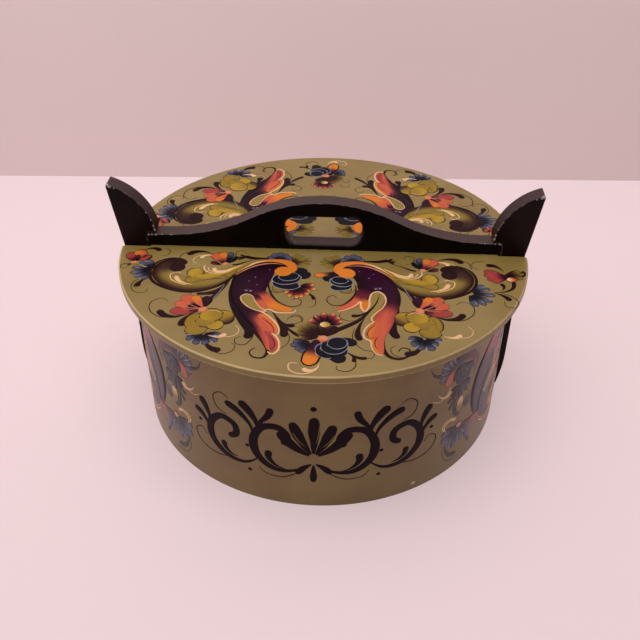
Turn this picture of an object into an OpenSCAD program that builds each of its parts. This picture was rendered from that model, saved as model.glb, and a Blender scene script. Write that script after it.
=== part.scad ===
// Bentwood box with a snap lid. Two sprung posts stand outside the bent wall, pass through slots in
// the lid and hook over the ends of the lid's handle board. Millimetres, +Z up, the origin at the
// middle of the base. The handle board and both posts lie in the XZ plane, and the wall's laced
// seam is at +Y.

/* [Wall] */
// Outside diameter of the bent wall
box_d = 280; // [240:1:360]
// Height of the wall
wall_h = 122; // [100:1:160]
// Thickness of the bent strip
wall_t = 4; // [3:0.5:5]
// Angle over which the strip's outer end laps over its inner end
lap_angle = 40; // [32:1:50]
// Thickness of the outer end at its tip
lap_t = 3; // [2:0.5:4]
// Cut-off at each corner of the tip
lap_clip = 7; // [4:1:12]

/* [Lacing] */
// Width of the split root that sews the lap
root_w = 3.2; // [2.4:0.2:4]
// Thickness of this root
root_t = 2; // [1.6:0.1:2.4]
// Angle of each row of stitches from the middle of the seam, the tip's row last
row_angles = [-6, 14];
// Stitches on the outside in one row
row_stitches = 7; // [4:1:9]
// Length of a stitch on the outside, from hole to hole
stitch_l = 9; // [7:0.5:10]
// Height of the lowest hole over the bottom board
row_start = 8; // [6:1:20]
// Distance of the highest hole from the wall's top
row_end = 9.5; // [6:0.5:20]
// Length of the root's tail beyond a row's end, on the inside
root_tail = 3.5; // [2:0.5:4]
// Gap between the root and the wood
root_fit = 0.05; // [0.02:0.01:0.2]

/* [Bottom] */
// Thickness of the bottom board
bottom_t = 9; // [6:0.5:14]
// Height of the board's underside over the wall's lower edge
bottom_rise = 1.5; // [1:0.5:3]
// Gap between the board and the wall
bottom_fit = 0.1; // [0.05:0.05:0.3]
// Diameter of the wooden pegs that hold the board
bottom_peg_d = 4; // [3:0.5:5]
// Length of these pegs
bottom_peg_l = 18; // [12:1:26]
// Angles at which they stand around the wall
bottom_peg_angles = [30, 60, 120, 150, 210, 240, 270, 300, 330];

/* [Lid] */
// How far the lid reaches past the wall
lid_overhang = 10; // [6:0.5:14]
// Thickness of the lid board
lid_t = 5.4; // [4:0.2:8]
// Rounding of the lid's upper edge
lid_top_r = 1; // [0.6:0.1:2]
// Rounding of the lid's lower edge
lid_low_r = 0.8; // [0.5:0.1:1.5]
// Rounding where a slot opens into the rim
slot_mouth_r = 3; // [1:0.5:5]
// How far a slot runs in under the handle board
slot_under = 2; // [1:0.5:4]

/* [Handle] */
// How far each end of the handle board lies inside the wall's outer face
handle_inset = 10; // [8:0.5:12]
// Thickness of the handle board
handle_t = 12.4; // [10:0.2:13]
// Height of the handle board at its middle
handle_h = 38.4; // [34:0.2:46]
// Height of the handle board at its ends
handle_end_h = 9.3; // [8:0.1:12]
// Length of the level stretch at each end
handle_level = 13; // [8:1:20]
// Radius of the crown of the handle's curve
crown_r = 110; // [80:1:140]
// Width of the hand hole
grip_w = 57; // [45:1:70]
// Height of the hand hole
grip_h = 21.8; // [18:0.2:25]
// Corner radius of the hand hole
grip_r = 9; // [7:0.5:9]
// Wood left under the hand hole
grip_bar = 4.8; // [4:0.2:8]
// Rounding of the hand hole's rims
grip_ease = 2.4; // [1:0.2:3]
// Diameter of the pegs between the lid and the handle
handle_peg_d = 6; // [4:0.5:8]
// How deep these pegs reach into the handle
handle_peg_l = 6; // [4:0.5:7]
// Distances of the pegs from the middle
handle_peg_x = [46, 104];

/* [Posts] */
// Thickness of the posts
post_t = 13; // [12:0.2:16]
// How far the lower part of a post stands out from the wall
post_out = 7; // [6:0.5:9]
// Overall height of the posts above the wall's lower edge
post_h = 177; // [170:1:190]
// Lean of the upper part of a post's outer edge, in degrees
post_lean = 8.5; // [5:0.5:11]
// Radius of the bend between the lower and the leaning part
post_bend_r = 150; // [80:5:200]
// Height at which the bend starts below the lid's top
post_bend_drop = 20; // [16:1:24]
// Radius of the horn's curved inner edge
horn_r = 44.7; // [38:0.5:60]
// How far the hook reaches over the handle's end
hook_over = 6.4; // [4:0.2:9]
// Height of the hook over the handle's end
hook_gap = 1.9; // [1:0.1:4]
// Height of the foot of a post over the wall's lower edge
foot_z = 4; // [3:0.5:8]
// Height up to which the foot is tapered
foot_taper = 36; // [20:1:60]
// Radius of the foot's taper
foot_r = 140; // [100:5:200]
// Diameter of the pegs that hold a post's foot
post_peg_d = 5; // [4:0.5:6]
// Heights of these pegs over the top of the bottom board
post_peg_z = [6.5, 18.5];
// How deep these pegs reach into the post
post_peg_l = 2.6; // [2:0.1:3]

/* [Clearances] */
// Gap between a post and the wall
post_gap = 0.3; // [0.2:0.1:0.6]
// Gap between a post and the handle's end
end_gap = 0.6; // [0.4:0.1:1]
// Gap on each side of a post in the lid's slot
slot_gap = 1.3; // [0.8:0.1:2]
// Radial play of a post's pegs in the wall, for the post's swing
swing_gap = 0.6; // [0.6:0.1:1]
// Radial gap around every other peg
peg_fit = 0.02; // [0.01:0.01:0.05]

/* [Hidden] */

$fn = 96;

OLIVE = "#8f7f48";
OLIVE_DARK = "#75683d";
PLUM_BLACK = "#1d1216";
BARE_WOOD = "#c9a877";
ROOT = "#b98d55";

SEAM = 90;
root_sides = 8;
bend_steps = 3;

box_r = box_d / 2;
wall_in_r = box_r - wall_t;
lid_r = box_r + lid_overhang;
lid_top = wall_h + lid_t;
board_top = bottom_rise + bottom_t;
handle_x = box_r - handle_inset;

// The lap's outer face is a cylinder set off towards the tip, so the strip climbs over its own inner
// end without a step: it leaves the wall at the lap's root and stands lap_t proud at the tip.
tip_r = box_r + lap_t;
lap_offset = (tip_r * tip_r - box_r * box_r) / (2 * (tip_r - box_r * cos(lap_angle)));
lap_r = tip_r - lap_offset;
tip_angle = SEAM + lap_angle / 2;

// Outside radius of the lapped seam at an angle around the box.
function seam_r(a) =
    let (t = a - tip_angle)
    lap_offset * cos(t) + sqrt(lap_r * lap_r - pow(lap_offset * sin(t), 2));

// Points of an arc about [x, y], from angle a0 to a1.
function arc(x, y, r, a0, a1, steps) =
    [for (i = [0:steps]) let (a = a0 + (a1 - a0) * i / steps) [x + r * cos(a), y + r * sin(a)]];

// ---- wall -----------------------------------------------------------------------------------

module wall_band() {
    color(OLIVE_DARK)
    difference() {
        union() {
            cylinder(r = box_r, h = wall_h);
            seam_lap();
        }
        translate([0, 0, -1]) cylinder(r = wall_in_r, h = wall_h + 2);
        inner_end_line();
        lacing_holes();
        bottom_peg_bores();
        for (side = [-1, 1]) post_peg_run(side, post_peg_d / 2 + swing_gap);
    }
}

module seam_lap() {
    half_w = tip_r * sin(lap_angle / 2);
    intersection() {
        rotate(tip_angle) translate([lap_offset, 0, 0]) cylinder(r = lap_r, h = wall_h);
        translate([0, tip_r + 1, 0]) rotate([90, 0, 0]) linear_extrude(box_r)
            polygon([[half_w, 0], [lap_clip - half_w, 0], [-half_w, lap_clip],
                     [-half_w, wall_h - lap_clip], [lap_clip - half_w, wall_h], [half_w, wall_h]]);
    }
}

// Line on the inside where the strip's thinned inner end stops.
module inner_end_line() {
    line_r = 0.5;
    rotate(SEAM - lap_angle / 2) translate([wall_in_r, 0, -1])
        cylinder(r = line_r, h = wall_h + 2, $fn = 24);
}

// ---- lacing ---------------------------------------------------------------------------------

row_holes = 2 * row_stitches;
row_z0 = board_top + row_start;
stitch_pitch = (wall_h - row_end - row_z0 - stitch_l) / (row_stitches - 1);
bend_r = root_t / 2 + 0.3;
inside_r = wall_in_r - root_t / 2 - root_fit;

// Height of a hole: each even hole starts a stitch on the outside and the next one ends it.
function hole_z(k) = row_z0 + floor(k / 2) * stitch_pitch + (k % 2) * stitch_l;

module lacing_holes() {
    for (a = row_angles, k = [0:row_holes - 1])
        rotate(SEAM + a) translate([wall_in_r - 2, 0, hole_z(k)]) rotate([0, 90, 0])
            cylinder(r = root_w / 2 + root_fit, h = wall_t + lap_t + 4, $fn = 32);
}

module seam_lacing() {
    color(ROOT)
    for (a = row_angles) rotate(SEAM + a) root_tube(lace_route(seam_r(SEAM + a) + root_t / 2 + root_fit));
}

// Route of one root in the plane of its row, as [radius, height, direction]. It is sewn out and in:
// up the outside from each even hole to the next, up the inside from each odd one, with a tail on
// the inside at both ends.
function lace_route(outside_r) =
    let (last = row_holes - 1)
    concat(
        [[inside_r, hole_z(0) - bend_r - root_tail, 90]],
        [for (k = [0:last]) each k % 2 == 0
            ? concat(route_bend(inside_r + bend_r, hole_z(k) - bend_r, 90, 0),
                     route_bend(outside_r - bend_r, hole_z(k) + bend_r, 0, 90))
            : concat(route_bend(outside_r - bend_r, hole_z(k) - bend_r, 90, 180),
                     route_bend(inside_r + bend_r, hole_z(k) + bend_r, 180, 90))],
        [[inside_r, hole_z(last) + bend_r + root_tail, 90]]);

// A quarter turn about [r, z], from heading h0 to heading h1.
function route_bend(r, z, h0, h1) =
    let (side = sign(h1 - h0))
    [for (i = [0:bend_steps]) let (h = h0 + (h1 - h0) * i / bend_steps)
        [r + bend_r * side * sin(h), z - bend_r * side * cos(h), h]];

// A flattened tube along a route, with a ring of root_sides points at each of the route's points.
module root_tube(route) {
    rings = len(route);
    ring = [for (p = route, j = [0:root_sides - 1]) let (t = 360 * j / root_sides, d = root_t / 2 * cos(t))
        [p[0] - d * sin(p[2]), root_w / 2 * sin(t), p[1] + d * cos(p[2])]];
    sides = [for (i = [0:rings - 2], j = [0:root_sides - 1])
        let (a = i * root_sides + j, b = i * root_sides + (j + 1) % root_sides)
        each [[a, b, b + root_sides], [a, b + root_sides, a + root_sides]]];
    first = [for (j = [1:root_sides - 2]) [0, j + 1, j]];
    base = (rings - 1) * root_sides;
    final = [for (j = [1:root_sides - 2]) [base, base + j, base + j + 1]];
    polyhedron(ring, concat(sides, first, final), convexity = 10);
}

// ---- bottom ---------------------------------------------------------------------------------

bottom_peg_z = bottom_rise + bottom_t / 2;

module bottom_peg_run(a, r, overrun = 0) {
    rotate(a) translate([box_r - bottom_peg_l, 0, bottom_peg_z]) rotate([0, 90, 0])
        cylinder(r = r, h = bottom_peg_l + overrun, $fn = 48);
}

module bottom_peg_bores() {
    for (a = bottom_peg_angles) bottom_peg_run(a, bottom_peg_d / 2 + peg_fit, 2);
}

module bottom_board() {
    color(BARE_WOOD)
    difference() {
        translate([0, 0, bottom_rise]) cylinder(r = wall_in_r - bottom_fit, h = bottom_t);
        bottom_peg_bores();
    }
}

module bottom_pegs() {
    color(BARE_WOOD)
    intersection() {
        for (a = bottom_peg_angles) bottom_peg_run(a, bottom_peg_d / 2, 2);
        cylinder(r = box_r, h = board_top);
    }
}

// ---- posts ----------------------------------------------------------------------------------

post_in_x = box_r + post_gap;
post_out_x = box_r + post_out;
neck_x = handle_x + end_gap;
hook_x = handle_x - hook_over;
hook_z = lid_top + handle_end_h + hook_gap;
bend_z = lid_top - post_bend_drop;
lean_z = bend_z + post_bend_r * sin(post_lean);
lean_x = post_out_x + post_bend_r * (1 - cos(post_lean));
tip_x = lean_x + (post_h - lean_z) * tan(post_lean);

// The horn's inner edge is one arc from the hook up to the tip.
horn_chord = norm([tip_x - hook_x, post_h - hook_z]);
horn_dir = atan2(post_h - hook_z, tip_x - hook_x);
horn_rise = sqrt(horn_r * horn_r - horn_chord * horn_chord / 4);
horn_cx = (hook_x + tip_x) / 2 + horn_rise * sin(horn_dir);
horn_cz = (hook_z + post_h) / 2 - horn_rise * cos(horn_dir);

// The foot thins towards the floor along an arc that leaves the outer edge at foot_taper.
foot_low = asin((foot_taper - foot_z) / foot_r);

// Outline of the right post in the XZ plane, from the foot's inner corner round the outside.
module post_outline() {
    polygon(concat(
        [[post_in_x, foot_z]],
        arc(post_out_x - foot_r, foot_taper, foot_r, -foot_low, 0, 10),
        arc(post_out_x + post_bend_r, bend_z, post_bend_r, 180, 180 - post_lean, 8),
        arc(horn_cx, horn_cz, horn_r, atan2(post_h - horn_cz, tip_x - horn_cx),
            180 + atan2(horn_cz - hook_z, horn_cx - hook_x), 28),
        [[neck_x, hook_z], [neck_x, wall_h + post_gap], [post_in_x, wall_h + post_gap]]));
}

module post_peg_run(side, r) {
    for (z = post_peg_z)
        translate([side * (wall_in_r - 1), 0, board_top + z]) rotate([0, 90 * side, 0])
            cylinder(r = r, h = wall_t + post_gap + 1 + post_peg_l, $fn = 48);
}

module post(side) {
    color(PLUM_BLACK)
    difference() {
        mirror([side < 0 ? 1 : 0, 0, 0]) translate([0, post_t / 2, 0]) rotate([90, 0, 0])
            linear_extrude(post_t) post_outline();
        post_peg_run(side, post_peg_d / 2 + peg_fit);
    }
}

// Pegs driven from the inside of the wall into the post's foot, trimmed flush with the wall.
module post_pegs(side) {
    color(BARE_WOOD)
    difference() {
        post_peg_run(side, post_peg_d / 2);
        cylinder(r = wall_in_r, h = wall_h);
    }
}

module left_post() post(-1);
module right_post() post(1);
module left_post_pegs() post_pegs(-1);
module right_post_pegs() post_pegs(1);

// ---- lid ------------------------------------------------------------------------------------

slot_w = post_t + 2 * slot_gap;
slot_x = handle_x - slot_under;

module lid_board() {
    color(OLIVE)
    difference() {
        translate([0, 0, wall_h]) rotate_extrude() lid_section();
        for (side = [0, 180]) rotate(side) lid_slot();
        handle_peg_runs(handle_peg_d / 2 + peg_fit);
    }
}

module lid_section() {
    square([lid_r - lid_top_r, lid_t]);
    translate([0, lid_low_r]) square([lid_r, lid_t - lid_top_r - lid_low_r]);
    translate([lid_r - lid_top_r, lid_t - lid_top_r]) circle(r = lid_top_r, $fn = 32);
    translate([lid_r - lid_low_r, lid_low_r]) circle(r = lid_low_r, $fn = 32);
}

// A slot open to the rim, with its two mouth corners rounded.
module lid_slot() {
    mouth_x = sqrt(lid_r * lid_r - slot_w * slot_w / 4);
    translate([0, 0, wall_h - 1]) {
        translate([slot_x, -slot_w / 2, 0]) cube([lid_r, slot_w, lid_t + 2]);
        for (side = [-1, 1])
            difference() {
                translate([mouth_x - slot_mouth_r, side * (slot_w + slot_mouth_r) / 2 - slot_mouth_r / 2, 0])
                    cube([2 * slot_mouth_r, slot_mouth_r, lid_t + 2]);
                translate([mouth_x - slot_mouth_r, side * (slot_w / 2 + slot_mouth_r), -1])
                    cylinder(r = slot_mouth_r, h = lid_t + 4, $fn = 48);
            }
    }
}

// ---- handle ---------------------------------------------------------------------------------

// The upper edge is an ogee: a crown arc and a hollow arc that meet on the line of their centres
// and run out level at the ends.
ogee_l = handle_x - handle_level;
ogee_h = handle_h - handle_end_h;
hollow_r = (ogee_l * ogee_l + ogee_h * ogee_h) / (2 * ogee_h) - crown_r;
ogee_turn = asin(ogee_l / (crown_r + hollow_r));
grip_z = grip_bar + grip_h / 2;

function half_outline() = concat(
    [[handle_x, 0], [handle_x, handle_end_h]],
    arc(ogee_l, handle_end_h + hollow_r, hollow_r, 270, 270 - ogee_turn, 24),
    arc(0, handle_h - crown_r, crown_r, 90 - ogee_turn, 90, 24));

function mirrored(points) = [for (i = [len(points) - 2:-1:0]) [-points[i][0], points[i][1]]];

module handle_board() {
    color(PLUM_BLACK)
    difference() {
        translate([0, handle_t / 2, lid_top]) rotate([90, 0, 0]) linear_extrude(handle_t)
            polygon(concat(half_outline(), mirrored(half_outline())));
        grip_hole();
        handle_peg_runs(handle_peg_d / 2 + peg_fit);
    }
}

module grip_hole() {
    corner_x = grip_w / 2 - grip_r;
    corner_z = grip_h / 2 - grip_r;
    translate([0, 0, lid_top + grip_z]) {
        rotate([90, 0, 0]) linear_extrude(handle_t + 2, center = true) {
            square([grip_w, 2 * corner_z], center = true);
            square([2 * corner_x, grip_h], center = true);
            for (x = [-corner_x, corner_x], z = [-corner_z, corner_z]) translate([x, z]) circle(r = grip_r);
        }
        for (face = [0, 180]) rotate(face) translate([0, -handle_t / 2, 0]) grip_rim(corner_x, corner_z);
    }
}

// Rounds the rim of the hand hole on the face at -Y: a quarter-round cutter swept along the four
// straights and round the four corners.
module grip_rim(corner_x, corner_z) {
    rotate([90, 0, 0]) {
        for (turn = [0, 180]) rotate(turn) {
            translate([grip_w / 2, 0, 0]) rim_straight(2 * corner_z);
            rotate(90) translate([grip_h / 2, 0, 0]) rim_straight(2 * corner_x);
            translate([corner_x, corner_z, 0]) rim_corner(0);
            translate([-corner_x, corner_z, 0]) rim_corner(90);
        }
    }
}

module rim_straight(l) {
    translate([0, l / 2, 0]) rotate([90, 0, 0]) linear_extrude(l) rim_cutter();
}

module rim_corner(turn) {
    rotate(turn) rotate_extrude(angle = 90) translate([grip_r, 0]) rim_cutter();
}

module rim_cutter() {
    over = 0.5;
    difference() {
        translate([-over, -grip_ease]) square([grip_ease + over, grip_ease + over]);
        translate([grip_ease, -grip_ease]) circle(r = grip_ease, $fn = 32);
    }
}

module handle_peg_runs(r) {
    for (x = handle_peg_x, side = [-1, 1])
        translate([side * x, 0, wall_h]) cylinder(r = r, h = lid_t + handle_peg_l, $fn = 48);
}

module handle_pegs() {
    color(BARE_WOOD) handle_peg_runs(handle_peg_d / 2);
}

wall_band();
seam_lacing();
bottom_board();
bottom_pegs();
left_post();
right_post();
left_post_pegs();
right_post_pegs();
lid_board();
handle_board();
handle_pegs();
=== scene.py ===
"""A painted Norwegian tine: a round bentwood box whose lid snaps under two sprung posts.

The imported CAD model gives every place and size. This script dresses it: the joinery in painted and
bare wood, the rosemaling as thin films of oil paint, and a plain pale table with soft light.
Sizes in the classes are in millimetres, and every mesh is in metres.
"""

import logging
import math
import random
from collections.abc import Callable
from dataclasses import dataclass, field, replace
from enum import Enum
from functools import partial

import bmesh
import bpy
import numpy as np
from bpy.types import Material, Node, NodeSocket, NodeTree, Object
from mathutils import Matrix, Vector


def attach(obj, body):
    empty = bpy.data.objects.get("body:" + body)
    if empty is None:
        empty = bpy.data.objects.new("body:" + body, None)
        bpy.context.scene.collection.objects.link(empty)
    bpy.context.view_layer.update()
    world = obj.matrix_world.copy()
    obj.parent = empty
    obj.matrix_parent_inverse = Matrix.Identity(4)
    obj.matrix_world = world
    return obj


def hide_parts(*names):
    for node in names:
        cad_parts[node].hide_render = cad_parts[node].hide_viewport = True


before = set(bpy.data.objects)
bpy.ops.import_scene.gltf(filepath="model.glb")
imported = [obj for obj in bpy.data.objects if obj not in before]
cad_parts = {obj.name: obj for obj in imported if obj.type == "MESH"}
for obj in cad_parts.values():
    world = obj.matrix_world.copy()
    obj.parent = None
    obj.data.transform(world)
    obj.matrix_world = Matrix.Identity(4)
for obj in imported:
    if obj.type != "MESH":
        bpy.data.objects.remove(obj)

log = logging.getLogger("tine")

MM = 0.001
Spot = tuple[float, float, float]
SocketValue = float | int | bool | tuple[float, ...] | NodeSocket | Node
Adder = Callable[..., Node]


# ---- small helpers ----


def linear(hex_colour: str) -> tuple[float, float, float, float]:
    """Turns an sRGB hex colour into Blender's linear one.

    Args:
        hex_colour: The colour as "#rrggbb".

    Returns:
        The linear red, green and blue, and an alpha of 1.
    """
    parts = [int(hex_colour[i : i + 2], 16) / 255 for i in (1, 3, 5)]
    red, green, blue = ((p / 12.92 if p <= 0.04045 else ((p + 0.055) / 1.055) ** 2.4) for p in parts)
    return red, green, blue, 1.0


def add_node(
    tree: NodeTree, kind: str, inputs: dict[str | int, SocketValue] | None = None, **settings: object
) -> Node:
    """Adds one node with its settings and its links.

    Args:
        tree: The node tree to add it to.
        kind: The node's type without its "ShaderNode".
        inputs: What each input gets, by its name or number: a value, a socket to link, or a node, whose
            first output in use is linked.
        settings: The node's own properties.

    Returns:
        The new node.
    """
    node = tree.nodes.new("ShaderNode" + kind)
    for name, value in settings.items():
        setattr(node, name, value)
    for key, value in (inputs or {}).items():
        if isinstance(value, Node):
            value = next(socket for socket in value.outputs if socket.enabled)
        if isinstance(value, NodeSocket):
            tree.links.new(value, node.inputs[key])
        else:
            node.inputs[key].default_value = value
    return node


def new_material(name: str) -> tuple[Material, Adder]:
    """Makes an empty node material.

    Args:
        name: The material's name.

    Returns:
        The material, and add_node for its tree.
    """
    material = bpy.data.materials.new(name)
    material.use_nodes = True
    material.node_tree.nodes.clear()
    return material, partial(add_node, material.node_tree)


def per_mm(*sizes: float) -> tuple[float, ...]:
    """Turns feature sizes in millimetres into texture scales per metre."""
    return tuple(1 / (size * MM) for size in sizes)


# ---- the photograph's camera ----


@dataclass
class PhotoCamera:
    """The camera at the photograph's viewing angle, in a frame turned by yaw from the box's own."""

    focal_px: float = 801.28
    frame_px: float = 640
    centre_px: float = 322.29
    pitch: float = math.radians(36.92)
    roll: float = math.radians(-0.46)
    yaw: float = math.radians(-2.29)
    place: tuple[float, float, float] = (-0.50, -511.65, 442.28)
    sensor: float = 36

    def set_up(self) -> None:
        """Adds the camera and makes it the scene's own."""
        data = bpy.data.cameras.new("photo_camera")
        data.sensor_width = self.sensor
        data.lens = self.focal_px / self.frame_px * self.sensor
        data.shift_x = (self.frame_px / 2 - self.centre_px) / self.frame_px
        data.clip_start = 0.02
        camera = bpy.data.objects.new("photo_camera", data)
        bpy.context.scene.collection.objects.link(camera)
        tilt = Matrix.Rotation(math.pi / 2 - self.pitch, 4, "X") @ Matrix.Rotation(-self.roll, 4, "Z")
        turn = Matrix.Rotation(-self.yaw, 4, "Z")
        camera.matrix_world = turn @ Matrix.Translation(Vector(self.place) * MM) @ tilt
        bpy.context.scene.camera = camera


# ---- table, wall and light ----


@dataclass
class Studio:
    """A pale table against a pale wall, under soft light from overhead."""

    table: str = "#f1dadd"
    wall: str = "#ead8d7"
    air: str = "#f6f1f1"
    glow: float = 0.5
    wall_y: float = 361
    wall_turn: float = math.radians(2.29)
    reach: float = 4000
    sky: float = 0.31
    lamp_tint: str = "#fffafa"

    def pale_surface(self, name: str, colour: str, one_sided: bool) -> Material:
        """A matt painted surface with a faint unevenness, which the camera sees in part at its own colour.

        Args:
            name: The material's name.
            colour: Its colour in hex.
            one_sided: Whether it can't be seen from behind.

        Returns:
            The material.
        """
        material, add = new_material(name)
        place = add("TexCoord").outputs["Object"]
        cloud = add("TexNoise", {"Vector": place, "Scale": per_mm(420)[0], "Detail": 2.0})
        dim = tuple(c * 0.95 for c in linear(colour)[:3]) + (1.0,)
        tone = add("Mix", {0: cloud, 6: dim, 7: linear(colour)}, data_type="RGBA")
        skin = add("BsdfPrincipled", {"Base Color": tone, "Roughness": 0.62})
        path = add("LightPath").outputs
        seen = add("Math", {0: path["Is Camera Ray"], 1: path["Is Glossy Ray"]}, operation="MAXIMUM")
        share = add("Math", {0: seen, 1: 0.0 if one_sided else self.glow}, operation="MULTIPLY")
        pale = add("Emission", {"Color": linear(colour), "Strength": 1.0})
        shown = add("MixShader", {0: share, 1: skin, 2: pale})
        if one_sided:
            behind = add("NewGeometry").outputs["Backfacing"]
            clear = add("BsdfTransparent")
            shown = add("MixShader", {0: behind, 1: shown, 2: clear})
        add("OutputMaterial", {"Surface": shown})
        return material

    def plane(self, name: str, corners: list[Spot], material: Material) -> None:
        """Adds one stage plane.

        Args:
            name: Its name.
            corners: Its four corners in millimetres.
            material: Its material.
        """
        mesh = bpy.data.meshes.new(name)
        mesh.from_pydata([Vector(c) * MM for c in corners], [], [(0, 1, 2, 3)])
        mesh.materials.append(material)
        thing = bpy.data.objects.new(name, mesh)
        bpy.context.scene.collection.objects.link(thing)

    def lamp(self, name: str, place: Spot, size: float, power: float, target: Spot, tint: str) -> None:
        """Adds one square soft lamp that faces a target.

        Args:
            name: Its name.
            place: Its place in millimetres.
            size: Its side in millimetres.
            power: Its power in watts.
            target: The place that it faces.
            tint: Its colour in hex.
        """
        data = bpy.data.lights.new(name, "AREA")
        data.shape, data.size, data.energy, data.color = "SQUARE", size * MM, power, linear(tint)[:3]
        thing = bpy.data.objects.new(name, data)
        bpy.context.scene.collection.objects.link(thing)
        thing.location = Vector(place) * MM
        aim = Vector(target) * MM - thing.location
        thing.rotation_euler = aim.to_track_quat("-Z", "Y").to_euler()

    def set_up(self) -> None:
        """Builds the table, the wall behind it, the lamps and the world."""
        r, y = self.reach, self.wall_y
        lift = r * math.tan(self.wall_turn)
        table = self.pale_surface("pale_table_top", self.table, False)
        wall = self.pale_surface("pale_room_wall", self.wall, True)
        self.plane("table_top", [(-r, -r, 0), (r, -r, 0), (r, r, 0), (-r, r, 0)], table)
        self.plane("room_wall", [(-r, y - lift, 0), (r, y + lift, 0), (r, y + lift, r), (-r, y - lift, r)],
            wall)
        self.lamp("overhead_softbox", (-650, -300, 1500), 1800, 12.5, (0, -120, 0), self.lamp_tint)
        self.lamp("wall_wash", (0, -50, 1300), 900, 10.0, (0, 1000, 800), self.lamp_tint)
        self.lamp("front_fill", (-900, -1500, 1200), 900, 1.5, (0, 0, 60), self.lamp_tint)
        scene = bpy.context.scene
        scene.view_settings.view_transform = "Standard"
        world = bpy.data.worlds.new("pale_room")
        scene.world = world
        world.use_nodes = True
        world.node_tree.nodes.clear()
        add = partial(add_node, world.node_tree)
        seen = add("LightPath").outputs["Is Camera Ray"]
        light = add("Background", {"Color": linear(self.air), "Strength": self.sky})
        pale = add("Background", {"Color": linear(self.wall), "Strength": 1.0})
        both = add("MixShader", {0: seen, 1: light, 2: pale})
        add("OutputWorld", {"Surface": both})


# ---- finishes ----


class BareFace(Enum):
    """Which faces of a painted piece were left as bare wood."""

    NONE = "none"
    INSIDE = "inside"
    UNDERSIDE = "underside"


@dataclass(frozen=True)
class BareWood:
    """Planed pine or birch, unpainted: straight grain, darker latewood lines and a dry, matt face."""

    name: str
    early: str
    late: str
    grain: tuple[float, float, float]
    roughness: float = 0.62

    def figure(self, add: Adder, place: NodeSocket) -> tuple[Node, Node]:
        """Builds the wood's figure.

        Args:
            add: Adds a node to the material.
            place: Object coordinates.

        Returns:
            The nodes that give the colour and the height.
        """
        along = add("Mapping", {"Vector": place, "Scale": per_mm(*self.grain)})
        rings = add("TexNoise", {"Vector": along, "Scale": 1.0, "Detail": 4.0, "Distortion": 0.4})
        line = add("MapRange", {0: rings, 1: 0.42, 2: 0.66, 3: 0.0, 4: 1.0})
        cloud = add("TexNoise", {"Vector": place, "Scale": per_mm(38)[0], "Detail": 3.0})
        aged = add("MapRange", {0: cloud, 1: 0.3, 2: 0.7, 3: 0.8, 4: 1.1})
        tone = add("Mix", {0: line, 6: linear(self.early), 7: linear(self.late)}, data_type="RGBA")
        shown = add("VectorMath", {0: tone, 1: aged}, operation="MULTIPLY")
        return shown, rings

    def make(self) -> Material:
        """Builds the material.

        Returns:
            The material.
        """
        material, add = new_material(self.name)
        tone, height = self.figure(add, add("TexCoord").outputs["Object"])
        relief = add("Bump", {"Height": height, "Strength": 0.25, "Distance": 0.1 * MM})
        skin = add("BsdfPrincipled", {"Base Color": tone, "Roughness": self.roughness, "Normal": relief})
        add("OutputMaterial", {"Surface": skin})
        return material


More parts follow.
